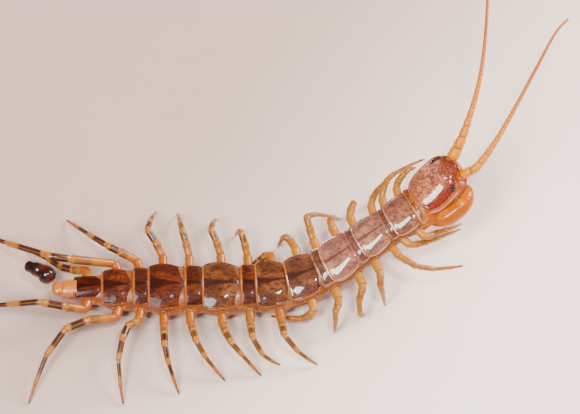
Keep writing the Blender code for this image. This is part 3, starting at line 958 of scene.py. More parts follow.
shields, buttons = bmesh.new(), bmesh.new()
for start, end, half_width, leg_along in PLACES.values():
    gather(shields, lay_belly_plate(slab(14, 20), start + 0.07, end - 0.07, half_width))
    for side in (-1, 1):
        for ahead, depth, length, height in SIDE_PLATES:
            here = station(leg_along + ahead)
            width = trunk_half_width(leg_along + ahead)
            across = 1.0 if depth < BULGE_DEPTH else 0.95
            lean = 0.25 if depth < BULGE_DEPTH else -0.45
            centre = here.at(0.0, side * width * across, depth * body_height(width))
            out = (here.left * side + here.up * lean).normalized()
            add_pressed_ball(buttons, centre, out, here.forward, length, height, 0.07)
BELLY = plate_finish(
    "belly plate", (0.24, 0.075, 0.018), (0.34, 0.12, 0.030), (0.11, 0.032, 0.012),
    (0.42, 0.17, 0.05), 0.05, 0.08, 0.60,
)
SIDE = flesh_finish(
    "side plate", (0.24, 0.062, 0.008), (0.060, 0.014, 0.006), (0.38, 0.125, 0.018), 0.02,
)
finish_piece("belly_plates", shields, BELLY, "plate_brown")
finish_piece("side_plates", buttons, SIDE, "amber")
print("belly and side plates laid")

# %% [markdown]
# ## Legs
#
# A leg has a short coxa at the flank, then prefemur, femur, tibia and two tarsi, and a claw. Each
# part swells towards its far end and is drawn in at the joint. The pattern is what makes this
# animal: pale amber legs with purple-brown bands, orange feet and black claws. A leg could be
# six separate pieces. One tube whose radius follows the joints keeps the thin skin between them
# whole, and a number that counts the parts along the leg places the bands.

# %% How the legs stand
# How each leg stands, measured from its seat on the flank: knee forward, knee out,
# knee height above the floor, foot forward, foot out, foot height above the floor
STANCE_RIGHT = {
    1: (1.3, 0.10, 4.45, 3.3, 0.1, 4.0),
    2: (1.55, 0.35, 4.1, 4.4, 0.2, 3.3),
    3: (0.9, 1.6, 3.95, 4.1, 2.7, 3.1),
    4: (-0.4, 1.3, 3.1, -0.1, 1.5, 0.0),
    5: (-0.7, 1.2, 2.4, -0.3, 1.25, 0.0),
    6: (-0.7, 1.5, 2.5, -0.9, 1.85, 0.0),
    7: (-0.9, 0.35, 0.75, -2.9, -0.8, 0.0),
    8: (0.0, 2.1, 2.4, 2.2, 3.6, 0.0),
    9: (0.1, 2.15, 2.4, 2.05, 3.25, 0.0),
    10: (0.6, 2.3, 2.3, 2.7, 3.9, 0.0),
    11: (0.4, 2.3, 2.3, 2.4, 4.4, 0.0),
    12: (0.05, 2.5, 2.3, 1.0, 5.3, 0.0),
    13: (-1.3, 2.2, 2.3, -1.3, 6.3, 0.0),
    14: (-3.7, 1.6, 2.4, -6.35, 6.3, 0.0),
    15: (-3.4, 0.1, 2.75, -9.4, -0.9, 0.0),
}
STANCE_LEFT = {
    1: (1.0, 0.8, 5.8, 2.2, 1.1, 5.2),
    2: (1.1, 1.4, 5.0, 2.6, 1.55, 5.0),
    3: (1.3, 1.4, 4.0, 5.3, 2.0, 4.1),
    4: (0.85, 1.4, 3.5, 1.3, 2.2, 0.0),
    5: (0.2, 1.1, 3.0, 1.5, 2.1, 0.0),
    6: (0.1, 2.0, 3.1, 2.4, 2.8, 0.0),
    7: (-0.5, 1.25, 2.4, -0.95, 1.7, 0.0),
    8: (-0.9, 0.35, 0.80, -2.9, -0.7, 0.0),
    9: (-0.4, 1.9, 2.4, -0.8, 2.9, 0.0),
    10: (-0.7, 2.1, 2.3, -0.3, 4.1, 0.0),
    11: (-0.5, 2.2, 2.3, -0.85, 4.7, 0.0),
    12: (-1.1, 2.2, 2.3, -0.5, 4.8, 0.0),
    13: (-2.3, 1.2, 2.3, -5.3, 4.5, 0.0),
    14: (-4.6, 0.05, 3.3, -9.8, 3.6, 0.0),
    15: (-2.0, 1.15, 0.6, -4.3, 2.75, 0.0),
}
# The gap that the plain model leaves between two of its solids
GAP = 0.24
# How far the first joint stands out from the seat, where it isn't the usual reach
USUAL_REACH = 0.42
COXA_REACH = {1: 0.25, 2: 0.2, 3: 0.2, 13: 0.2, 14: 0.28, 15: 0.24}
# How far the thigh's and the shin's joints stand off the straight line, where
# it isn't the usual bow: forward, out, up
USUAL_BOW = (0.0, 0.10, 0.12)
THIGH_BOW_RIGHT = {13: (-0.25, -0.10, 0.25), 14: (-0.40, -0.10, 0.20)}
THIGH_BOW_LEFT = {13: (-0.25, 0.10, 0.12), 14: (-0.45, -0.05, 0.15), 15: (0.0, 0.0, -0.25)}
SHIN_BOW_RIGHT = {
    3: (0.0, 0.20, -0.10),
    5: (-0.3, 0.50, -0.50),
    8: (0.05, 0.35, -0.20),
    9: (-0.05, 0.45, -0.25),
    11: (-0.10, 0.15, 0.05),
    12: (-0.10, 0.05, 0.12),
    13: (-0.30, -0.10, 0.25),
    14: (-0.35, -0.05, 0.20),
}
SHIN_BOW_LEFT = {3: (0.1, 0.30, 0.20), 13: (-0.25, 0.10, 0.12), 14: (-0.45, 0.10, 0.12)}
TARSUS_BOW_SHARE = 0.5
# Thickness of a leg beside that of a middle one
LEG_SCALE = {15: 1.12, 14: 1.12, 13: 1.05, 3: 0.92, 2: 0.92, 1: 0.92}
LEG_SEAT = 1.055
LEG_ROOT_INSIDE = 0.45
CLAW_RADIUS = 0.07
PATH_STEP = 0.08
BEND_STEPS = 3
COXA_LENGTH = 0.52
PREFEMUR_PART = 0.46
TIBIA_PART = 0.36
TARSUS_PART = 0.76
# Radius of each part of a leg where it begins and where it ends
PART_RADII = (
    (0.34, 0.31), (0.285, 0.275), (0.265, 0.245), (0.225, 0.185), (0.160, 0.125), (0.115, 0.070),
)


def rounded_path(points):
    """An even run of points along straight stretches with rounded bends."""
    run = []
    for first, second in zip(points, points[1:]):
        count = max(1, int(round((second - first).length / PATH_STEP)))
        run += [first.lerp(second, step / count) for step in range(count)]
    run.append(points[-1])
    smooth_run = []
    for index in range(len(run)):
        reach = min(BEND_STEPS, index, len(run) - 1 - index)
        smooth_run.append(mean(run[index - reach:index + reach + 1]))
    return smooth_run


def bow_vector(bows, number, ahead, out):
    """How far a joint of a leg stands off the straight line."""
    forward, sideways, up = bows.get(number, USUAL_BOW)
    return ahead * forward + out * sideways + Vector((0.0, 0.0, up))


def leg_joints(number, side, stance):
    """The joints of one leg from its seat on the flank to its claw."""
    half_width, leg_along = PLACES[number][2:]
    seat = station(leg_along)
    seat_out = half_width * LEG_SEAT + GAP
    root = seat.at(0.0, side * seat_out, body_height(half_width) * LEG_DEPTH)
    ahead = Vector((seat.forward.x, seat.forward.y, 0.0)).normalized()
    out = seat.left * side
    knee_ahead, knee_out, knee_height, foot_ahead, foot_out, foot_height = stance
    knee = root + ahead * knee_ahead + out * knee_out
    knee.z = knee_height
    foot = root + ahead * foot_ahead + out * foot_out
    foot.z = foot_height + CLAW_RADIUS
    reach = COXA_REACH.get(number, USUAL_REACH)
    trochanter = root + out * reach + (knee - root).normalized() * (COXA_LENGTH - reach)
    thigh_bow = THIGH_BOW_RIGHT if side < 0 else THIGH_BOW_LEFT
    shin_bow = SHIN_BOW_RIGHT if side < 0 else SHIN_BOW_LEFT
    bend = bow_vector(shin_bow, number, ahead, out)
    prefemur = trochanter.lerp(knee, PREFEMUR_PART) + bow_vector(thigh_bow, number, ahead, out)
    tibia = knee.lerp(foot, TIBIA_PART) + bend
    tarsus = knee.lerp(foot, TARSUS_PART) + bend * TARSUS_BOW_SHARE
    return [root, trochanter, prefemur, knee, tibia, tarsus, foot], out


print("stances for", len(STANCE_LEFT) + len(STANCE_RIGHT), "legs")

# %% [markdown]
# ## Finish of the legs
#
# The shell of a leg is thin: it is amber, and a little light passes through. The purple-brown
# bands lie on the upper side of prefemur, femur, tibia and first tarsus, with a pale line along
# them. Each could be painted on. The number that counts the parts along the leg puts them all in
# place at once, and a noise frays their edges.

# %% Finish of the legs
LEG_PALE = (0.385, 0.142, 0.011)
LEG_ORANGE = (0.32, 0.074, 0.003)
LEG_DARK = (0.036, 0.010, 0.008)


def leg_finish(name, rump, strength):
    """Amber leg with purple-brown bands: the mark counts its parts from 0 to 6."""
    made = Finish(name, soft(0.00035, (1.0, 0.5, 0.2), 0.28, 0.1, 0.2))
    along = made.marked("ahead")
    dorsal = made.marked("across")
    rough = made.speckle(0.10, 3.0)
    place = along + (made.speckle(0.30, offset=4.0) - 0.5) * 0.18
    thigh = (place.rise(1.45, 1.62) - place.rise(1.86, 1.97)) * 0.55
    femur = place.rise(2.06, 2.20) - place.rise(2.70, 2.84)
    tibia = place.rise(3.06, 3.14) - place.rise(3.60, 3.74)
    tarsus = place.rise(4.02, 4.08) - place.rise(4.45, 4.75)
    pale_line = (1.0 - (dorsal - 0.78).size().rise(0.05, 0.16)) * 0.42
    underside = 1.0 - dorsal.rise(-0.85, -0.50) * 0.90
    bands = (thigh + femur + tibia + tarsus) * (1.0 - pale_line) * (1.0 - underside)
    base = made.mixed(rump, LEG_PALE, place.rise(0.9, 1.7))
    footed = made.mixed(base, LEG_ORANGE, place.rise(4.55, 5.10))
    joints = (along.fraction() - 0.5).size().rise(0.455, 0.495) * along.rise(0.5, 0.6)
    edged = made.mixed(footed, (0.34, 0.105, 0.018), joints * 0.6)
    clouded = made.mixed(edged, (0.30, 0.10, 0.022), rough.rise(0.52, 0.68) * 0.45)
    made.colour(made.mixed(clouded, LEG_DARK, bands * (0.70 + rough * 0.6) * strength))
    made.roughness(0.24 + rough * 0.16)
    made.relief(rough, 0.012)
    return made


def tinted_finish(name, plain, size, first, second, low=0.35, high=0.65):
    """A finish whose colour drifts between two."""
    made = Finish(name, plain)
    made.colour(made.mixed(first, second, made.speckle(size).rise(low, high)))
    return made


LEG_FRONT = leg_finish("front leg", (0.42, 0.155, 0.009), 0.42)
LEG_MIDDLE = leg_finish("middle leg", (0.31, 0.090, 0.003), 0.88)
LEG_REAR = leg_finish("rear leg", (0.31, 0.068, 0.003), 1.15)
CLAW = tinted_finish(
    "claw", {"Roughness": 0.22, "Coat Weight": 0.5}, 0.12,
    (0.15, 0.040, 0.009), (0.045, 0.012, 0.005),
)
SPINE = tinted_finish("spine", {"Roughness": 0.3}, 0.2, (0.20, 0.055, 0.015), (0.42, 0.16, 0.04))
HAIR = tinted_finish("hair", {"Roughness": 0.4}, 0.4, (0.62, 0.36, 0.14), (0.42, 0.20, 0.06))
print("leg, claw, spine and hair finishes")

# %% [markdown]
# ## Skin and claw of a leg
#
# Each leg is one tube with a swelling for each part, and a curved claw ends it. The points of the
# tube know how far they face the sky, because the bands fade on the underside.

# %% Skin and claw of a leg
# Place within one part of the leg, and radius there
PART_PROFILE = (
    (0.015, 0.84), (0.06, 0.95), (0.20, 0.95), (0.50, 0.98), (0.80, 1.04), (0.92, 1.08),
    (0.97, 1.00), (0.995, 0.84),
)
LEG_SIDES = 14
CLAW_LENGTH = 0.40
CLAW_SIDES = 8
CLAW_PLAN = ((0.0, 0.075), (0.2, 0.08), (0.5, 0.058), (0.8, 0.032), (1.0, 0.008))
# Some legs show longer and shorter parts than the plain ones, from the seat outwards
PART_STRETCH = {(14, 1): (1.0, 1.25, 0.88, 1.28), (15, -1): (1.0, 0.90, 0.94, 1.04)}
LOWEST = 0.012
SKY = Vector((0.0, 0.0, 1.0))


def mark_sky(mesh, rings):
    """Write on each point of a tube how far it faces the sky, from -1 to 1."""
    layer = mesh.verts.layers.float.new("across")
    centres = [mean(ring) for ring in rings]
    marks = []
    for index, ring in enumerate(rings):
        axis = centres[min(index + 1, len(rings) - 1)] - centres[max(index - 1, 0)]
        axis.normalize()
        top = (SKY - axis * SKY.dot(axis)).normalized()
        marks += [(point - centres[index]).normalized().dot(top) for point in ring]
    for vertex, mark in zip(mesh.verts, marks):
        vertex[layer] = mark


def kept_above(rings, height):
    """Rings with the points lifted that would sink into the floor."""
    for ring in rings:
        for point in ring:
            point.z = max(point.z, height)
    return rings


def leg_tube(number, side, stance):
    """The skin of one leg, with its route, the places of its joints, its tip and its scale."""
    joints, out = leg_joints(number, side, stance)
    scale = LEG_SCALE.get(number, 1.0)
    joints[0] = joints[0] - out * LEG_ROOT_INSIDE
    lengths = [(second - first).length for first, second in zip(joints, joints[1:])]
    whole = sum(lengths)
    stretch = PART_STRETCH.get((number, side), (1.0,) * 4)
    near = [length * factor for length, factor in zip(lengths, stretch)]
    shrink = (whole - sum(near)) / sum(lengths[4:])
    lengths = near + [length * shrink for length in lengths[4:]]
    route = Route(rounded_path(joints))
    tip = 1.0 - CLAW_LENGTH * 0.8 / whole
    plan, marks, ends = [], [], []
    begin = 0.0
    for index, ((first, last), length) in enumerate(zip(PART_RADII, lengths)):
        end = min(begin + length / whole, tip)
        for part, factor in PART_PROFILE:
            plan.append((blend(begin, end, part), blend(first, last, part) * scale * factor))
            marks.append(index + part)
        ends.append(end)
        begin = begin + length / whole
    first_side = station(PLACES[number][3]).forward
    rings = kept_above(tube_rings(route, plan, LEG_SIDES, first_side), LOWEST)
    mesh = draw_through(rings, marks)
    mark_sky(mesh, rings)
    return mesh, route, ends, tip, scale


def claw_tube(route, tip, on_floor):
    """A curved claw at the end of a leg."""
    base = route.point(tip - 0.01)
    axis = route.direction(tip)
    side = axis.cross(SKY).normalized()
    hook = side.cross(axis).normalized()
    end = base + axis * CLAW_LENGTH - hook * 0.10
    if on_floor:
        end.z = LOWEST
    bent = smooth_path([base, base.lerp(end, 0.45) + hook * 0.05, end], 5)
    rings = kept_above(tube_rings(Route(bent), CLAW_PLAN, CLAW_SIDES, side), LOWEST * 0.5)
    return draw_through(rings, [part for part, radius in CLAW_PLAN])


print("a leg has", len(PART_RADII) * len(PART_PROFILE), "rings")

# %% [markdown]
# ## Spines and hairs
#
# Stiff spines stand round the far ends of prefemur, femur and tibia, and short hairs cover shin
# and foot. They are thin cones. Hair curves would look the same, but a cone is a plain mesh that
# any program can read. The draws of chance start from one number, so each run gives the same hairs.

# %% Spines and hairs
# Turn round the leg in degrees, and length
SPINES = ((55, 0.24), (90, 0.24), (125, 0.24), (215, 0.17), (270, 0.17), (325, 0.17))
SPINE_RADIUS = 0.024
# How many hairs, from which joint to which, and the part whose thickness they stand on
HAIR_RUNS = ((10, 0, 2, 2), (12, 2, 3, 3), (14, 3, 4, 4), (10, 4, 5, 5))
HAIR_RADIUS = 0.008
HAIR_LOWEST = 0.2
chance = random.Random(15)


def add_hair(mesh, root, direction, length, radius):
    """One thin cone."""
    turn = direction.to_track_quat("Z", "Y").to_matrix().to_4x4()
    middle = Matrix.Translation(root + direction.normalized() * length / 2)
    bmesh.ops.create_cone(
        mesh, cap_ends=True, segments=3, radius1=radius, radius2=radius * 0.15, depth=length,
        matrix=middle @ turn,
    )


def outward(axis, up, turn):
    """A direction square to an axis, turned round it from its side."""
    side = axis.cross(up).normalized()
    return side * cos(turn) + side.cross(axis) * sin(turn)


def add_leg_spines(mesh, route, ends, scale):
    """Short stiff spines round the far ends of prefemur, femur and tibia."""
    for index in (1, 2, 3):
        part = ends[index] - 0.012
        axis = route.direction(part)
        for turn, length in SPINES:
            out = outward(axis, SKY, radians(turn))
            root = route.point(part) + out * PART_RADII[index][1] * scale * 0.95
            add_hair(mesh, root, out * 0.7 + axis * 0.75, length * scale, SPINE_RADIUS)


def add_leg_hairs(mesh, route, ends, scale):
    """Fine hairs, thickest on the shin and the foot."""
    for count, first, last, index in HAIR_RUNS:
        for place in range(count):
            part = blend(ends[first], ends[last], chance.random())
            axis = route.direction(part)
            out = outward(axis, SKY, chance.random() * 2.0 * pi)
            root = route.point(part) + out * PART_RADII[index][1] * scale * 0.9
            if root.z > HAIR_LOWEST:
                add_hair(mesh, root, out * 0.8 + axis * 0.7, chance.uniform(0.10, 0.2), HAIR_RADIUS)


def add_few(whole, add, *given):
    """Build a small mesh and gather it, which is faster than growing the whole one."""
    few = bmesh.new()
    add(few, *given)
    gather(whole, few)


print("spines on a leg:", 3 * len(SPINES), "and hairs:", sum(run[0] for run in HAIR_RUNS))

# %% [markdown]
# ## Legs on both sides
#
# One loop sets all thirty legs. The spines and the hairs of one side are gathered into one piece
# each, since thousands of tiny objects would be slow to handle.

# %% Legs on both sides
for title, side, stances in (("left", 1, STANCE_LEFT), ("right", -1, STANCE_RIGHT)):
    spines, hairs = bmesh.new(), bmesh.new()
    for number, stance in stances.items():
        look = LEG_FRONT
        if number > 7:
            look = LEG_REAR if number > 11 else LEG_MIDDLE
        mesh, route, ends, tip, scale = leg_tube(number, side, stance)
        node = "leg_%s_%02d" % (title, number)
        finish_piece("shaped_" + node, mesh, look, "leg_amber", node)
        claw = claw_tube(route, tip, stance[5] == 0.0)
        finish_piece("claw_%s_%02d" % (title, number), claw, CLAW, "dark_brown")
        add_few(spines, add_leg_spines, route, ends, scale)
        add_few(hairs, add_leg_hairs, route, ends, scale)
    finish_piece("leg_spines_" + title, spines, SPINE, "dark_brown")
    finish_piece("leg_hairs_" + title, hairs, HAIR, "leg_amber")
print("legs:", len(STANCE_LEFT) + len(STANCE_RIGHT))

# %% [markdown]
# ## Head shield
#
# The head is one low round shield. It has a thin raised rim at the sides and the rear, a second
# fold just inside the rear rim, and a curved seam that runs from eye to eye and parts the red
# forehead from the coppery crown. The outline comes from a curve of half widths, which can be
# read and changed more easily than a drawn outline.

# %% Head shape
HEAD_LENGTH = 3.80
HEAD_DEPTH = 1.02
HEAD_FRONT = station(HEAD_START + HEAD_LENGTH)
# The shield sits a little to the left of the cheeks, and its front is skewed
SHIELD_SHIFT = 0.17
SHIELD_SKEW = 0.24
CHEEK_SHIFT = -0.08
SHIELD_CROWD = 0.30
SHIELD_SQUARES = 84
# How steeply the shield falls at its sides, and how much less on the left
SHIELD_STEEP = 0.46
SHIELD_LEFT_EASE = 0.18
SHIELD_POWER = 1.85
# How far the rear corners are drawn forward, and the left one back
REAR_BEND = 0.22
REAR_SKEW = 0.15
SHIELD_BACK = 0.05
SHIELD_THICK = 0.10
RIM_PLACE = 0.065
RIM_HEIGHT = 0.075
FOLD_PLACE = 0.330
FOLD_HEIGHT = 0.062
# Half width of the shield, and how far it falls, at parts of its length
SHIELD_WIDTHS = (
    (0.00, 1.02), (0.05, 1.27), (0.13, 1.46), (0.25, 1.57), (0.42, 1.61), (0.60, 1.55),
    (0.76, 1.39), (0.88, 1.12), (0.96, 0.86), (1.00, 0.70),
)
SHIELD_FALLS = (
    (0.00, -0.01), (0.06, -0.04), (0.16, -0.04), (0.45, 0.00), (0.62, 0.03), (0.76, 0.09),
    (0.88, 0.20), (0.96, 0.30), (1.00, 0.38),
)
CHEEK_WIDTHS = (
    (0.00, 1.10), (0.20, 1.46), (0.42, 1.56), (0.60, 1.55), (0.76, 1.48), (0.88, 1.28),
    (0.96, 1.00), (1.00, 0.82),
)
SEAM_PLACE = 2.50
SEAM_BEND = 0.62


def curve_value(stops, place):
    """A smooth curve through stops, read at a place."""
    place = min(max(place, stops[0][0]), stops[-1][0])
    index = 1
    while stops[index][0] < place:
        index += 1
    near, far = stops[index - 1], stops[index]
    before = stops[max(index - 2, 0)]
    after = stops[min(index + 1, len(stops) - 1)]
    width = far[0] - near[0]
    t = (place - near[0]) / width
    slope_near = (far[1] - before[1]) / (far[0] - before[0]) * width
    slope_far = (after[1] - near[1]) / (after[0] - near[0]) * width
    lift_part = (2 * t ** 3 - 3 * t ** 2 + 1) * near[1] + (t ** 3 - 2 * t ** 2 + t) * slope_near
    return lift_part + (3 * t ** 2 - 2 * t ** 3) * far[1] + (t ** 3 - t ** 2) * slope_far


def shield_point(share, across, extra=0.0):
    """A point of the shield: share of its length, across from -1 to 1, and extra depth."""
    wide = curve_value(SHIELD_WIDTHS, share)
    fall = curve_value(SHIELD_FALLS, share)
    steep = SHIELD_STEEP - SHIELD_LEFT_EASE * max(0.0, across)
    depth = fall + (HEAD_DEPTH - fall) * steep * abs(across) ** SHIELD_POWER + extra
    corner = REAR_BEND * abs(across) ** 3 - REAR_SKEW * (1.0 + across)
    back = corner * (1.0 - share) ** 3 - SHIELD_BACK
    skew = SHIELD_SKEW * across * ease((share - 0.35) / 0.40)
    along = HEAD_START + HEAD_LENGTH * share + back + skew
    shift = SHIELD_SHIFT + 0.07 * bump(share, 0.75, 0.20)
    return station(along).at(0.0, across * wide + shift, depth)


def shield_facing(share, across):
    """The outward direction of the shield at a point."""
    lengthwise = shield_point(share + 0.01, across) - shield_point(share - 0.01, across)
    crosswise = shield_point(share, across + 0.01) - shield_point(share, across - 0.01)
    return lengthwise.cross(crosswise).normalized()


def shield_place(across, ahead, below):
    """Where a point of the slab goes, with the rim, the fold and the seam."""
    across, ahead = crowd(across, SHIELD_CROWD), crowd(ahead, SHIELD_CROWD)
    corner = 1.0 - 0.13 * (across * ahead) ** 4
    share = (ahead * corner + 1.0) / 2.0
    side = across * corner
    wide = curve_value(SHIELD_WIDTHS, share)
    rear = HEAD_LENGTH * (1.0 + ahead) / 2.0
    flank = wide * (1.0 - abs(across))
    edge = min(rear, flank)
    rim = min(edge, HEAD_LENGTH - rear)
    seam = HEAD_LENGTH * share - SEAM_PLACE - SEAM_BEND * abs(side * wide) ** 1.7
    beaded = min(1.0, max(0.0, (0.90 - share) / 0.12))
    extra = -RIM_HEIGHT * bump(edge, RIM_PLACE, 0.042) * beaded
    extra += 0.040 * bump(edge, 0.170, 0.060) * beaded
    extra -= FOLD_HEIGHT * bump(rear, FOLD_PLACE, 0.050) * (1.0 - abs(side)) ** 0.3
    extra += 0.018 * bump(seam, 0.0, 0.05) - 0.012 * bump(seam, 0.11, 0.06)
    if rim < RIM_PLACE:
        extra += 0.06 * (1.0 - rim / RIM_PLACE) ** 2
    if below:
        extra += SHIELD_THICK
        side *= UNDERSIDE_SHARE
    return shield_point(share, side, extra), (across, share, rear, flank, seam)


print("shield front at", [round(value, 2) for value in shield_point(1.0, 0.0)])

# %% [markdown]
# ## Finish of the head shield
#
# The crown is coppery and finely wrinkled, its pale pink tone partly its own colour and partly a
# painted sheen. The forehead and the right slope are redder, and the rim is amber. The wrinkles are
# lines where a noise passes through its middle value: a painted map would fit one head only, while
# a noise can be made finer or coarser with one number.

# %% Finish of the head shield
def head_finish():
    """Coppery, finely wrinkled crown, redder forehead and right slope, thin amber rim."""
    made = Finish("head shield", {
        "Coat Weight": 0.9, "Coat Roughness": 0.04, "Specular IOR Level": 0.10,
    })
    seam = made.marked("seam")
    cloud = made.speckle(0.55, 3.0, offset=2.0)
    wrinkle = made.speckle(0.15, 3.0, offset=9.0)
    grain = made.speckle(0.07)
    lines = 1.0 - (wrinkle - 0.5).size().rise(0.010, 0.085)
    threads = 1.0 - (grain - 0.5).size().rise(0.0, 0.11)
    # The crown's pale coppery tone is partly its own colour, partly a painted sheen.
    crown = made.mixed((0.39, 0.112, 0.044), (0.61, 0.215, 0.090), cloud.rise(0.38, 0.62))
    furrows = (lines * 0.75 + threads * 0.45) * cloud.rise(0.10, 0.45)
    veined = made.mixed(crown, (0.100, 0.027, 0.024), furrows * 0.9)
    forehead = made.mixed((0.080, 0.0085, 0.002), (0.140, 0.0175, 0.0035), cloud.rise(0.4, 0.6))
    faced = made.mixed(veined, forehead, (seam + (wrinkle - 0.5) * 0.6).rise(-0.15, 0.45) * 0.85)
    slope = (made.marked("across") * -1.0).rise(0.25, 0.70)
    sided = made.mixed(faced, (0.175, 0.011, 0.0002), slope * 0.94)
    seamed = made.mixed(sided, (0.075, 0.014, 0.006), (1.0 - seam.size().rise(0.02, 0.07)) * 0.45)
    edge = made.marked("side").rise(0.06, 0.18) * made.marked("rear").rise(0.20, 0.36)
    made.colour(made.mixed((0.40, 0.095, 0.014), seamed, edge))
    made.roughness(0.16 + grain * 0.12)
    made.relief(1.0 - lines * 0.5 - threads * 0.25 + wrinkle * 0.8 + cloud * 0.7, 0.036)
    return made


shield = bend(slab(SHIELD_SQUARES, SHIELD_SQUARES), shield_place, (*MARKS, "seam"))
head_shield = finish_piece("head_shield", shield, head_finish(), "head_brown", "head")
print("head shield:", len(head_shield.data.polygons), "faces")

# %% [markdown]
# ## Amber parts
#
# The cheeks, the collar, the poison claws and the plates between them are clear amber: thick
# chitin without much pigment. It lets a little light through and turns red-brown towards the
# tips. One function makes the amber finish and the cheeks' darker one, with a mark that darkens
# each along a piece. The cheeks are rings drawn in at the front, and the forehead is a slab folded
# down over the gap.

# %% Amber finish, cheeks and forehead
def amber_finish(name, pale, deep, tip, first, last, gloss):
    """Clear amber chitin that darkens between two marks."""
    made = Finish(name, soft(0.0005, (1.0, 0.4, 0.12), gloss, 0.05, 0.15))
    along = made.marked("ahead")
    cloud = made.speckle(0.50)
    fleck = made.speckle(0.09, 3.0, offset=6.0)
    base = made.mixed(pale, deep, (cloud * 0.8 + fleck * 0.25).rise(0.38, 0.58))
    spots = (fleck.rise(0.66, 0.74) * along.rise(first * 0.7, last * 0.8)) * 0.55
    spotted = made.mixed(base, (0.15, 0.028, 0.006), spots)
    made.colour(made.mixed(spotted, tip, along.rise(first, last)))
    made.roughness(0.16 + cloud * 0.12)
    made.relief(cloud + fleck * 0.2, 0.02)
    return made


AMBER = amber_finish(
    "amber", (0.58, 0.175, 0.001), (0.37, 0.072, 0.0005), (0.24, 0.034, 0.001), 0.60, 1.15, 0.30,
)
CHEEK = amber_finish(
    "cheek", (0.44, 0.100, 0.001), (0.29, 0.044, 0.001), (0.22, 0.025, 0.001), 0.60, 1.10, 0.06,
)
# Across in half widths of the shield and depth in depths of the head
CHEEK_HALF = (
    (0.00, 0.24), (0.50, 0.28), (0.82, 0.44), (0.95, 0.50), (0.97, 0.60), (0.88, 0.74),
    (0.80, 0.90), (0.50, 0.99), (0.00, 1.00),
)
CHEEK_SECTION = mirrored(CHEEK_HALF, 3)


def cheek_ring(part):
    """One ring of the head below its shield, drawn in at the front under the forehead."""
    share = blend(0.03, 1.045, part)
    wide = curve_value(CHEEK_WIDTHS, share)
    close = 1.0 - 0.9 * ease((part - 0.90) / 0.10)
    fall = curve_value(SHIELD_FALLS, share) * 0.8
    here = station(HEAD_START + HEAD_LENGTH * share - 0.25 * (1.0 - close))
    ring = []
    for across, depth in CHEEK_SECTION:
        low = blend(0.62, fall + depth * (HEAD_DEPTH - fall) + 0.04, close)
        ring.append(here.at(0.0, across * wide * blend(0.5, 1.0, close) + CHEEK_SHIFT, low))
    return ring, part


def forehead_place(across, ahead, below):
    """Where a point of the forehead goes: the plate is rounded and folds down to the mouth."""
    across, down = crowd(across), (1.0 - ahead) / 2.0
    depth = blend(0.34, 0.98, down) + 0.10 * across * across
    out = 0.10 * sin(pi * min(1.0, down * 1.1)) - 0.18 * down * down - 0.16 * across * across
    wide = blend(0.60, 0.74, down)
    if below:
        out -= 0.10
    ridge = 0.025 * (bump(down, 0.35, 0.05) + bump(down, 0.62, 0.05))
    point = HEAD_FRONT.at(out + ridge + 0.04, across * wide + SHIELD_SHIFT, depth)
    return point, (across, 0.4 + 0.6 * down, 1.0, 1.0)


finish_piece("cheeks", draw_steps(30, cheek_ring), CHEEK, "amber", "head")
finish_piece("forehead", bend(slab(24, 28), forehead_place), CHEEK, "head_brown")
print("cheeks and forehead made")

# %% [markdown]
# ## Eyes
#
# A stone centipede has no compound eyes. On each side sits a patch of some fifteen small round
# lenses on black pigment, the rear one the largest. Each lens is a small ball sunk into the edge
# of the shield, because a dot of paint would not catch the light.

# %% Eyes
EYE_GLOSS = {
    "Roughness": 0.3, "Coat Weight": 0.4, "Coat Roughness": 0.05, "Specular IOR Level": 0.2,
}
EYE = tinted_finish(
    "eye", EYE_GLOSS, 0.1, (0.004, 0.003, 0.004), (0.018, 0.014, 0.016), 0.4, 0.7,
)
EYE_SHIFT = -0.01
EYE_PLACE = 0.742
EYE_ACROSS = 0.88
# Share of the shield's length, across, and radius of each lens
LENSES = (
    (0.655, 0.86, 0.095),
    (0.695, 0.80, 0.070), (0.697, 0.88, 0.070), (0.692, 0.95, 0.060),
    (0.730, 0.78, 0.066), (0.732, 0.855, 0.066), (0.730, 0.925, 0.064), (0.728, 0.985, 0.052),
    (0.765, 0.79, 0.060), (0.767, 0.87, 0.062), (0.765, 0.945, 0.058),
    (0.797, 0.81, 0.054), (0.800, 0.89, 0.056), (0.797, 0.96, 0.050),
    (0.825, 0.85, 0.046), (0.827, 0.93, 0.046),
)
# The left patch is narrower and lies a little further in than the right one
for title, side, inward in (("left", 1, 0.92), ("right", -1, 1.0)):
    lenses = bmesh.new()
    middle = side * EYE_ACROSS * inward
    centre = shield_point(EYE_PLACE + EYE_SHIFT, middle, 0.03)
    facing = shield_facing(EYE_PLACE + EYE_SHIFT, middle)
    lengthwise = station(HEAD_START + 2.9).forward
    add_pressed_ball(lenses, centre, facing, lengthwise, 0.80, 0.42 * inward ** 5, 0.075)
    for share, across, radius in LENSES:
        place = share + EYE_SHIFT
        away = side * blend(EYE_ACROSS, across, inward ** 6) * inward
        lens = shield_point(place, away) + shield_facing(place, away) * radius * 0.25
        laid = Matrix.Translation(lens)
        bmesh.ops.create_icosphere(lenses, subdivisions=2, radius=radius * inward, matrix=laid)
    finish_piece("lenses_" + title, lenses, EYE, "eye_black", "eye_" + title)
print("lenses on each side:", len(LENSES))

# %% [markdown]
# ## Collar
#
# A narrow plate behind the head covers the segment that carries the poison claws, and a ring of
# amber flesh closes the gap below it. The plate is bent like a back plate, by the same function.

# %% Collar
COLLAR_PLAN = {
    "front_corner": 0.08, "rear_corner": 0.10, "rear": 0.98, "front": 0.86, "belly": 0.02,
    "dome": 0.04, "bead": 0.055, "tuck": 0.24, "lip": 0.05, "hollow": 0.04,
}
COLLAR = plate_finish(
    "collar", (0.26, 0.062, 0.013), (0.36, 0.105, 0.022), (0.11, 0.024, 0.010),
    (0.46, 0.165, 0.045), 0.02, 0.08, 0.80,
)
COLLAR_HALF_WIDTH = 1.56


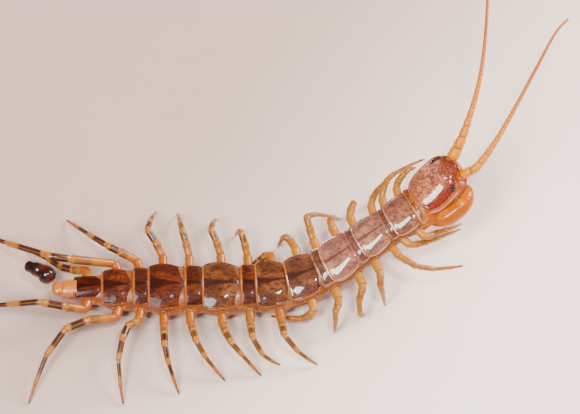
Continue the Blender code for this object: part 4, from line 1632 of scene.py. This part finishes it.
def collar_ring(part):
    """One ring of the flesh between the trunk and the head."""
    here = station(blend(COLLAR_START - 0.12, HEAD_START + 0.55, part))
    width = blend(COLLAR_HALF_WIDTH, 1.44, part) * (1.0 + 0.04 * sin(pi * part))
    deep = body_height(1.5) * 1.03
    ring = [here.at(0.0, across * width, 0.05 + depth * deep) for across, depth in SKIN_SECTION]
    return ring, 0.3 * part


sheet = slab(SHORT_SQUARES, CROSS_SQUARES)
lay_plate(sheet, COLLAR_START + 0.04, HEAD_START + 0.06, COLLAR_HALF_WIDTH, COLLAR_PLAN)
finish_piece("collar_plate", sheet, COLLAR, "amber", "collar")
finish_piece("collar_ring", draw_steps(20, collar_ring), AMBER, "amber")
print("collar plate and ring made")

# %% [markdown]
# ## Poison claws
#
# The first pair of legs has turned into poison claws. They curve forward below the cheeks and
# meet under the mouth: a stout base, two short rings and a fang with a dark point. One tube on a
# curved route gives the base and the rings, and a second one that starts inside it gives the
# fang, so that each keeps its own finish.

# %% Poison claws
CLAW_BASE = station(HEAD_START + 0.35)
CLAW_DEPTH = 1.48
# Ahead of the base, out from the midline and depth
POISON_ROUTE = (
    (-0.50, 1.02, CLAW_DEPTH), (-0.12, 1.36, CLAW_DEPTH), (0.50, 1.70, CLAW_DEPTH),
    (1.25, 1.80, CLAW_DEPTH), (1.95, 1.74, CLAW_DEPTH + 0.02), (2.55, 1.42, CLAW_DEPTH + 0.10),
    (2.86, 0.92, CLAW_DEPTH + 0.26), (2.82, 0.42, CLAW_DEPTH + 0.42),
)
POISON_RADII = (
    (0.00, 0.34), (0.06, 0.48), (0.10, 0.55), (0.12, 0.53), (0.14, 0.57), (0.22, 0.64),
    (0.34, 0.67), (0.46, 0.67), (0.545, 0.64), (0.56, 0.61), (0.575, 0.63), (0.62, 0.60),
    (0.635, 0.57),
    (0.65, 0.59), (0.69, 0.57), (0.705, 0.54), (0.72, 0.54), (0.78, 0.47), (0.85, 0.36),
    (0.91, 0.22), (0.96, 0.11), (1.00, 0.02),
)
POISON_SIDES = 26
FANG_SIDES = 18
FANG_START = 0.88
FANG_OVERLAP = 0.02
# Parts of the route with a ring: sixty even ones and those where a radius is given
POISON_STOPS = sorted({part for part, radius in POISON_RADII} | {step / 60.0 for step in range(61)})

# The left claw lies closer under the head than the right one, and is slimmer
for title, side, near in (("left", 1, 0.87), ("right", -1, 1.0)):
    points = [CLAW_BASE.at(ahead, side * left * near, low) for ahead, left, low in POISON_ROUTE]
    route = Route(smooth_path(points, 8))
    plan = [(part, curve_value(POISON_RADII, part)) for part in POISON_STOPS]
    slim = 0.5 + near / 2
    body = [(part, radius * slim) for part, radius in plan if part <= FANG_START + FANG_OVERLAP]
    fang = [(part, radius) for part, radius in plan if part >= FANG_START]
    claw = tube(route, body, POISON_SIDES, CLAW_BASE.up)
    finish_piece("poison_claw_" + title, claw, AMBER, "amber", "forcipule_" + title)
    point = tube(route, fang, FANG_SIDES, CLAW_BASE.up)
    finish_piece("fang_" + title, point, CLAW, "dark_brown")
print("poison claws:", round(route.length, 2), "mm along the bend")

# %% [markdown]
# ## Toothed plate and mouthparts
#
# Between the claws lies the plate that they turn on, with small teeth on its front edge, and
# ahead of it two pairs of jointed palps. The plate is thick in the middle and thin at its sides,
# so it is drawn through squarish rings with a shallow groove along the midline.

# %% Toothed plate and mouthparts
PLATE_TOP = HEAD_DEPTH + 0.20
TOOTHED_SIDES = 36
TOOTHED_WIDTHS = ((0.0, 1.30), (0.2, 1.26), (0.45, 1.12), (0.7, 1.02), (0.9, 0.80), (1.0, 0.60))
TOOTH_PLACES = (-0.44, -0.28, -0.12, 0.12, 0.28, 0.44)
# How far a palp stands from the midline, how far it reaches, and its radius
PALPS = ((0.42, 1.18, 0.17), (0.17, 0.86, 0.15))
PALP_JOINTS = 3
PALP_SIDES = 14
PALP_PROFILE = ((0.02, 0.80), (0.3, 1.0), (0.75, 0.98), (0.96, 0.78))


def signed_power(value, power):
    """A power that keeps the sign of its value."""
    return abs(value) ** power * (1 if value >= 0 else -1)


def toothed_ring(part):
    """One squarish ring of the toothed plate, from its rear to its front."""
    here = station(HEAD_START - 0.25 + 2.65 * part)
    wide = curve_value(TOOTHED_WIDTHS, part)
    thick = blend(0.66, 0.46, part) * (1.0 - 0.55 * ease((part - 0.9) / 0.1))
    ring = []
    for angle in circle(TOOTHED_SIDES):
        across = wide * signed_power(cos(angle), 0.7)
        deep = PLATE_TOP + thick / 2 + thick / 2 * signed_power(sin(angle), 0.8)
        groove = 0.06 * bump(across, 0.0, 0.05) if sin(angle) > 0 else 0.0
        ring.append(here.at(0.0, across, deep - groove))
    return ring, part * 0.6


finish_piece("toothed_plate", draw_steps(24, toothed_ring), AMBER, "amber", "coxosternite")

teeth = bmesh.new()
front = station(HEAD_START + 2.35)
turn = (front.forward - front.up * 0.1).to_track_quat("Z", "Y").to_matrix().to_4x4()
for across in TOOTH_PLACES:
    laid = Matrix.Translation(front.at(0.0, across, PLATE_TOP + 0.20)) @ turn
    bmesh.ops.create_cone(
        teeth, cap_ends=True, segments=10, radius1=0.075, radius2=0.015, depth=0.22, matrix=laid,
    )
finish_piece("teeth", teeth, CLAW, "dark_brown")

palps = bmesh.new()
base = station(HEAD_START + 2.45)
low = HEAD_DEPTH + 0.34
for side in (-1, 1):
    for spread, reach, radius in PALPS:
        away = side * spread
        points = [
            base.at(0.0, away, low), base.at(reach * 0.45, away * 1.12, low + 0.06),
            base.at(reach * 0.8, away * 0.9, low), base.at(reach, away * 0.55, low - 0.1),
        ]
        plan = []
        for index in range(PALP_JOINTS):
            for place, factor in PALP_PROFILE:
                part = (index + place) / PALP_JOINTS
                plan.append((part, radius * factor * (1.0 - 0.2 * index)))
        plan.append((1.0, radius * 0.2))
        tube(Route(smooth_path(points, 6)), plan, PALP_SIDES, base.up, palps)
finish_piece("palps", palps, CHEEK, "amber", "mouthparts")
print("toothed plate, teeth and palps made")

# %% [markdown]
# ## Feelers
#
# Each feeler has about forty beads. The first are as long as they are wide, the last are short
# and thin, and the colour warms from honey to orange along it. A chain of loose balls would show
# gaps, so one tube swells and narrows once for each bead.

# %% Feelers
FEELER_BEADS = 40
FEELER_SIDES = 14
FEELER_SPREAD = 0.78
FEELER_DEPTH = 0.60
# Side, how far its socket and its root stand ahead of the head's front, thickness, and route
FEELERS = (
    ("left", 1, GAP, -0.30, 1.0, (
        (12.10, 1.35, 8.60), (13.00, 4.05, 9.60), (13.50, 6.95, 10.20), (13.80, 10.90, 10.40),
        (13.75, 13.90, 10.30),
    )),
    ("right", -1, 0.0, -0.62, 0.80, (
        (12.95, -1.10, 8.00), (14.10, 0.35, 8.50), (15.35, 2.45, 9.00), (17.15, 5.90, 9.50),
        (18.50, 8.60, 9.60), (19.45, 9.85, 9.50),
    )),
)
FEELER_RADII = (
    (0.00, 0.43), (0.05, 0.43), (0.10, 0.37), (0.16, 0.30), (0.22, 0.245), (0.32, 0.19),
    (0.50, 0.145), (0.75, 0.115), (1.00, 0.080),
)
BEAD_PROFILE = ((0.015, 0.80), (0.08, 0.93), (0.35, 1.00), (0.70, 1.01), (0.90, 0.95), (0.98, 0.82))
HAIRS_ROUND_BEAD = 5
BEAD_HAIR_RADIUS = 0.007


def bead_start(bead):
    """Where a bead begins along its feeler, the first ones being longer."""
    part = bead / FEELER_BEADS
    return part * (1.0 + 1.5 * (1.0 - part) ** 3) if part < 1.0 else 1.0


def feeler_finish():
    """Honey at the base, orange at the tip, brown at each joint."""
    made = Finish("feeler", soft(0.0003, (1.0, 0.45, 0.15), 0.3, 0.08, 0.15))
    along = made.marked("ahead")
    fleck = made.speckle(0.08, 3.0)
    base = made.ramp(along / FEELER_BEADS, (
        (0.0, (0.60, 0.205, 0.0005)), (0.25, (0.52, 0.150, 0.003)), (0.6, (0.41, 0.098, 0.003)),
        (1.0, (0.36, 0.078, 0.004)),
    ))
    joints = (along.fraction() - 0.5).size().rise(0.41, 0.49)
    jointed = made.mixed(base, (0.26, 0.055, 0.008), joints * 0.75)
    made.colour(made.mixed(jointed, (0.30, 0.085, 0.015), fleck.rise(0.55, 0.75) * 0.4))
    made.roughness(0.22 + fleck * 0.16)
    made.relief(fleck, 0.01)
    return made


def feeler_tube(route, edges, slim):
    """The skin of one feeler, whose beads begin and end at the edges."""
    plan, marks = [(0.0, 0.30)], [0.0]
    for bead in range(FEELER_BEADS):
        for place, factor in BEAD_PROFILE:
            part = blend(edges[bead], edges[bead + 1], place)
            thin = blend(slim, 1.0, ease(part / 0.35))
            plan.append((part, curve_value(FEELER_RADII, part) * factor * thin))
            marks.append(bead + place)
    plan.append((1.0, 0.03))
    marks.append(float(FEELER_BEADS) - 0.5)
    return draw_through(tube_rings(route, plan, FEELER_SIDES, HEAD_FRONT.up), marks)


def add_bead_hairs(mesh, route, part):
    """A ring of fine hairs round a bead."""
    axis = route.direction(part)
    first_turn = chance.random() * 2.0 * pi
    for spoke in range(HAIRS_ROUND_BEAD):
        out = outward(axis, HEAD_FRONT.up, first_turn + 2.0 * pi * spoke / HAIRS_ROUND_BEAD)
        root = route.point(part) + out * curve_value(FEELER_RADII, part) * 0.9
        length = chance.uniform(0.07, 0.12)
        add_hair(mesh, root, out * 0.8 + axis * 0.6, length, BEAD_HAIR_RADIUS)


FEELER = feeler_finish()
for title, side, socket_ahead, root_ahead, slim, points in FEELERS:
    socket = HEAD_FRONT.at(socket_ahead, side * FEELER_SPREAD, FEELER_DEPTH)
    inside = HEAD_FRONT.at(root_ahead, side * FEELER_SPREAD, FEELER_DEPTH)
    route = Route([inside] + smooth_path((socket,) + points, 10))
    skip = (socket - inside).length / route.length * 0.4
    edges = [blend(skip, 1.0, bead_start(bead)) for bead in range(FEELER_BEADS + 1)]
    nodes = ("antenna_%s_base" % title, "antenna_%s_whip" % title)
    feeler = feeler_tube(route, edges, slim)
    finish_piece("feeler_" + title, feeler, FEELER, "feeler_orange", *nodes)
    hairs = bmesh.new()
    for begin, end in zip(edges[2:-2], edges[3:-1]):
        add_few(hairs, add_bead_hairs, route, blend(begin, end, 0.7))
    finish_piece("feeler_hairs_" + title, hairs, HAIR, "feeler_orange")
    print("feeler", title, round(route.length, 1), "mm")

# %% [markdown]
# ## Tail end
#
# Behind the last legs come a small plate, the pale genital segment and its appendages, which
# are dark, glossy and bent to the left here. Soft tubes with their own swellings make them.

# %% Tail end
TAIL_FLESH = flesh_finish(
    "tail", (0.43, 0.112, 0.005), (0.26, 0.042, 0.004), (0.53, 0.185, 0.015), 0.02,
)
TAIL_SIDES = 28
TAIL_PIECE_LENGTH = 1.75
TAIL_FLATNESS = 0.68
TAIL_WIDTHS = (
    (0.00, 0.20), (0.05, 0.34), (0.18, 0.46), (0.42, 0.53), (0.60, 0.52), (0.68, 0.50),
    (0.76, 0.58), (1.00, 0.63), (1.30, 0.64), (1.75, 0.66),
)
LOBE_SIDES = 24
LOBE_STEPS = 48
LOBE_ROUTE = (
    (-16.68, -6.86, 1.80), (-17.02, -6.28, 1.88), (-17.42, -6.05, 1.92), (-17.85, -5.85, 1.90),
    (-18.15, -5.70, 1.85), (-18.50, -5.52, 1.80),
)
LOBE_RADII = (
    (0.00, 0.24), (0.04, 0.44), (0.14, 0.62), (0.26, 0.67), (0.38, 0.60), (0.48, 0.51),
    (0.56, 0.52), (0.66, 0.50), (0.75, 0.43), (0.81, 0.41), (0.88, 0.41), (0.94, 0.34),
    (0.98, 0.20), (1.00, 0.06),
)


def tail_ring(part):
    """One flattened ring of the tail's segments."""
    along = blend(0.0, TAIL_PIECE_LENGTH, part)
    here = station(along)
    wide = curve_value(TAIL_WIDTHS, along)
    centre = blend(0.34, 0.44, along / TAIL_PIECE_LENGTH)
    deep = wide * TAIL_FLATNESS
    turns = circle(TAIL_SIDES)
    return [here.at(0.0, wide * cos(turn), centre + deep * sin(turn)) for turn in turns], along


finish_piece("tail_segments", draw_steps(40, tail_ring), TAIL_FLESH, "tail_orange", "tail")

LOBES = Finish("dark lobes", {
    "Coat Weight": 0.7, "Coat Roughness": 0.06, "Specular IOR Level": 0.2,
})
tint = LOBES.speckle(0.35, 3.0)
LOBES.colour(LOBES.mixed((0.014, 0.0035, 0.0025), (0.10, 0.0125, 0.003), tint.rise(0.44, 0.66)))
LOBES.roughness(0.18 + tint * 0.2)
LOBES.relief(tint, 0.03)
lobe_parts = [step / LOBE_STEPS for step in range(LOBE_STEPS + 1)]
plan = [(part, curve_value(LOBE_RADII, part)) for part in lobe_parts]
lobes = tube(Route(smooth_path(LOBE_ROUTE, 6)), plan, LOBE_SIDES, SKY)
finish_piece("dark_lobes", lobes, LOBES, "dark_brown", "gonopods")
print("tail end made")

# %% [markdown]
# ## Floor
#
# The floor is a stage, not a part of the animal: a wide sheet of pale matt plastic. Its colour
# is painted lighter towards the right and the near side: painted light, where the daylight comes
# from. A stronger lamp there would do it too, but the polished plates would mirror it.

# %% Floor
FLOOR_SIZE = 0.6
FLOOR = Finish("floor", {"Roughness": 0.45})
cloud = FLOOR.speckle(6.0)
places = FLOOR.node("ShaderNodeSeparateXYZ", None, {"Vector": FLOOR.millimetres}).outputs
rightwards = Value(FLOOR.tree, places["X"])
nearer = Value(FLOOR.tree, places["Y"]) * -0.7
# Painted light: the floor is painted lighter towards the right and the near side.
lit = (rightwards + nearer).rise(-12.0, 25.0)
FLOOR.colour(FLOOR.mixed((0.47, 0.320, 0.272), (1.0, 0.85, 0.77), lit * 0.9 + cloud * 0.1))
ground = bmesh.new()
bmesh.ops.create_grid(ground, x_segments=1, y_segments=1, size=FLOOR_SIZE)
floor = add_mesh("floor", ground, FLOOR)
print("floor laid")
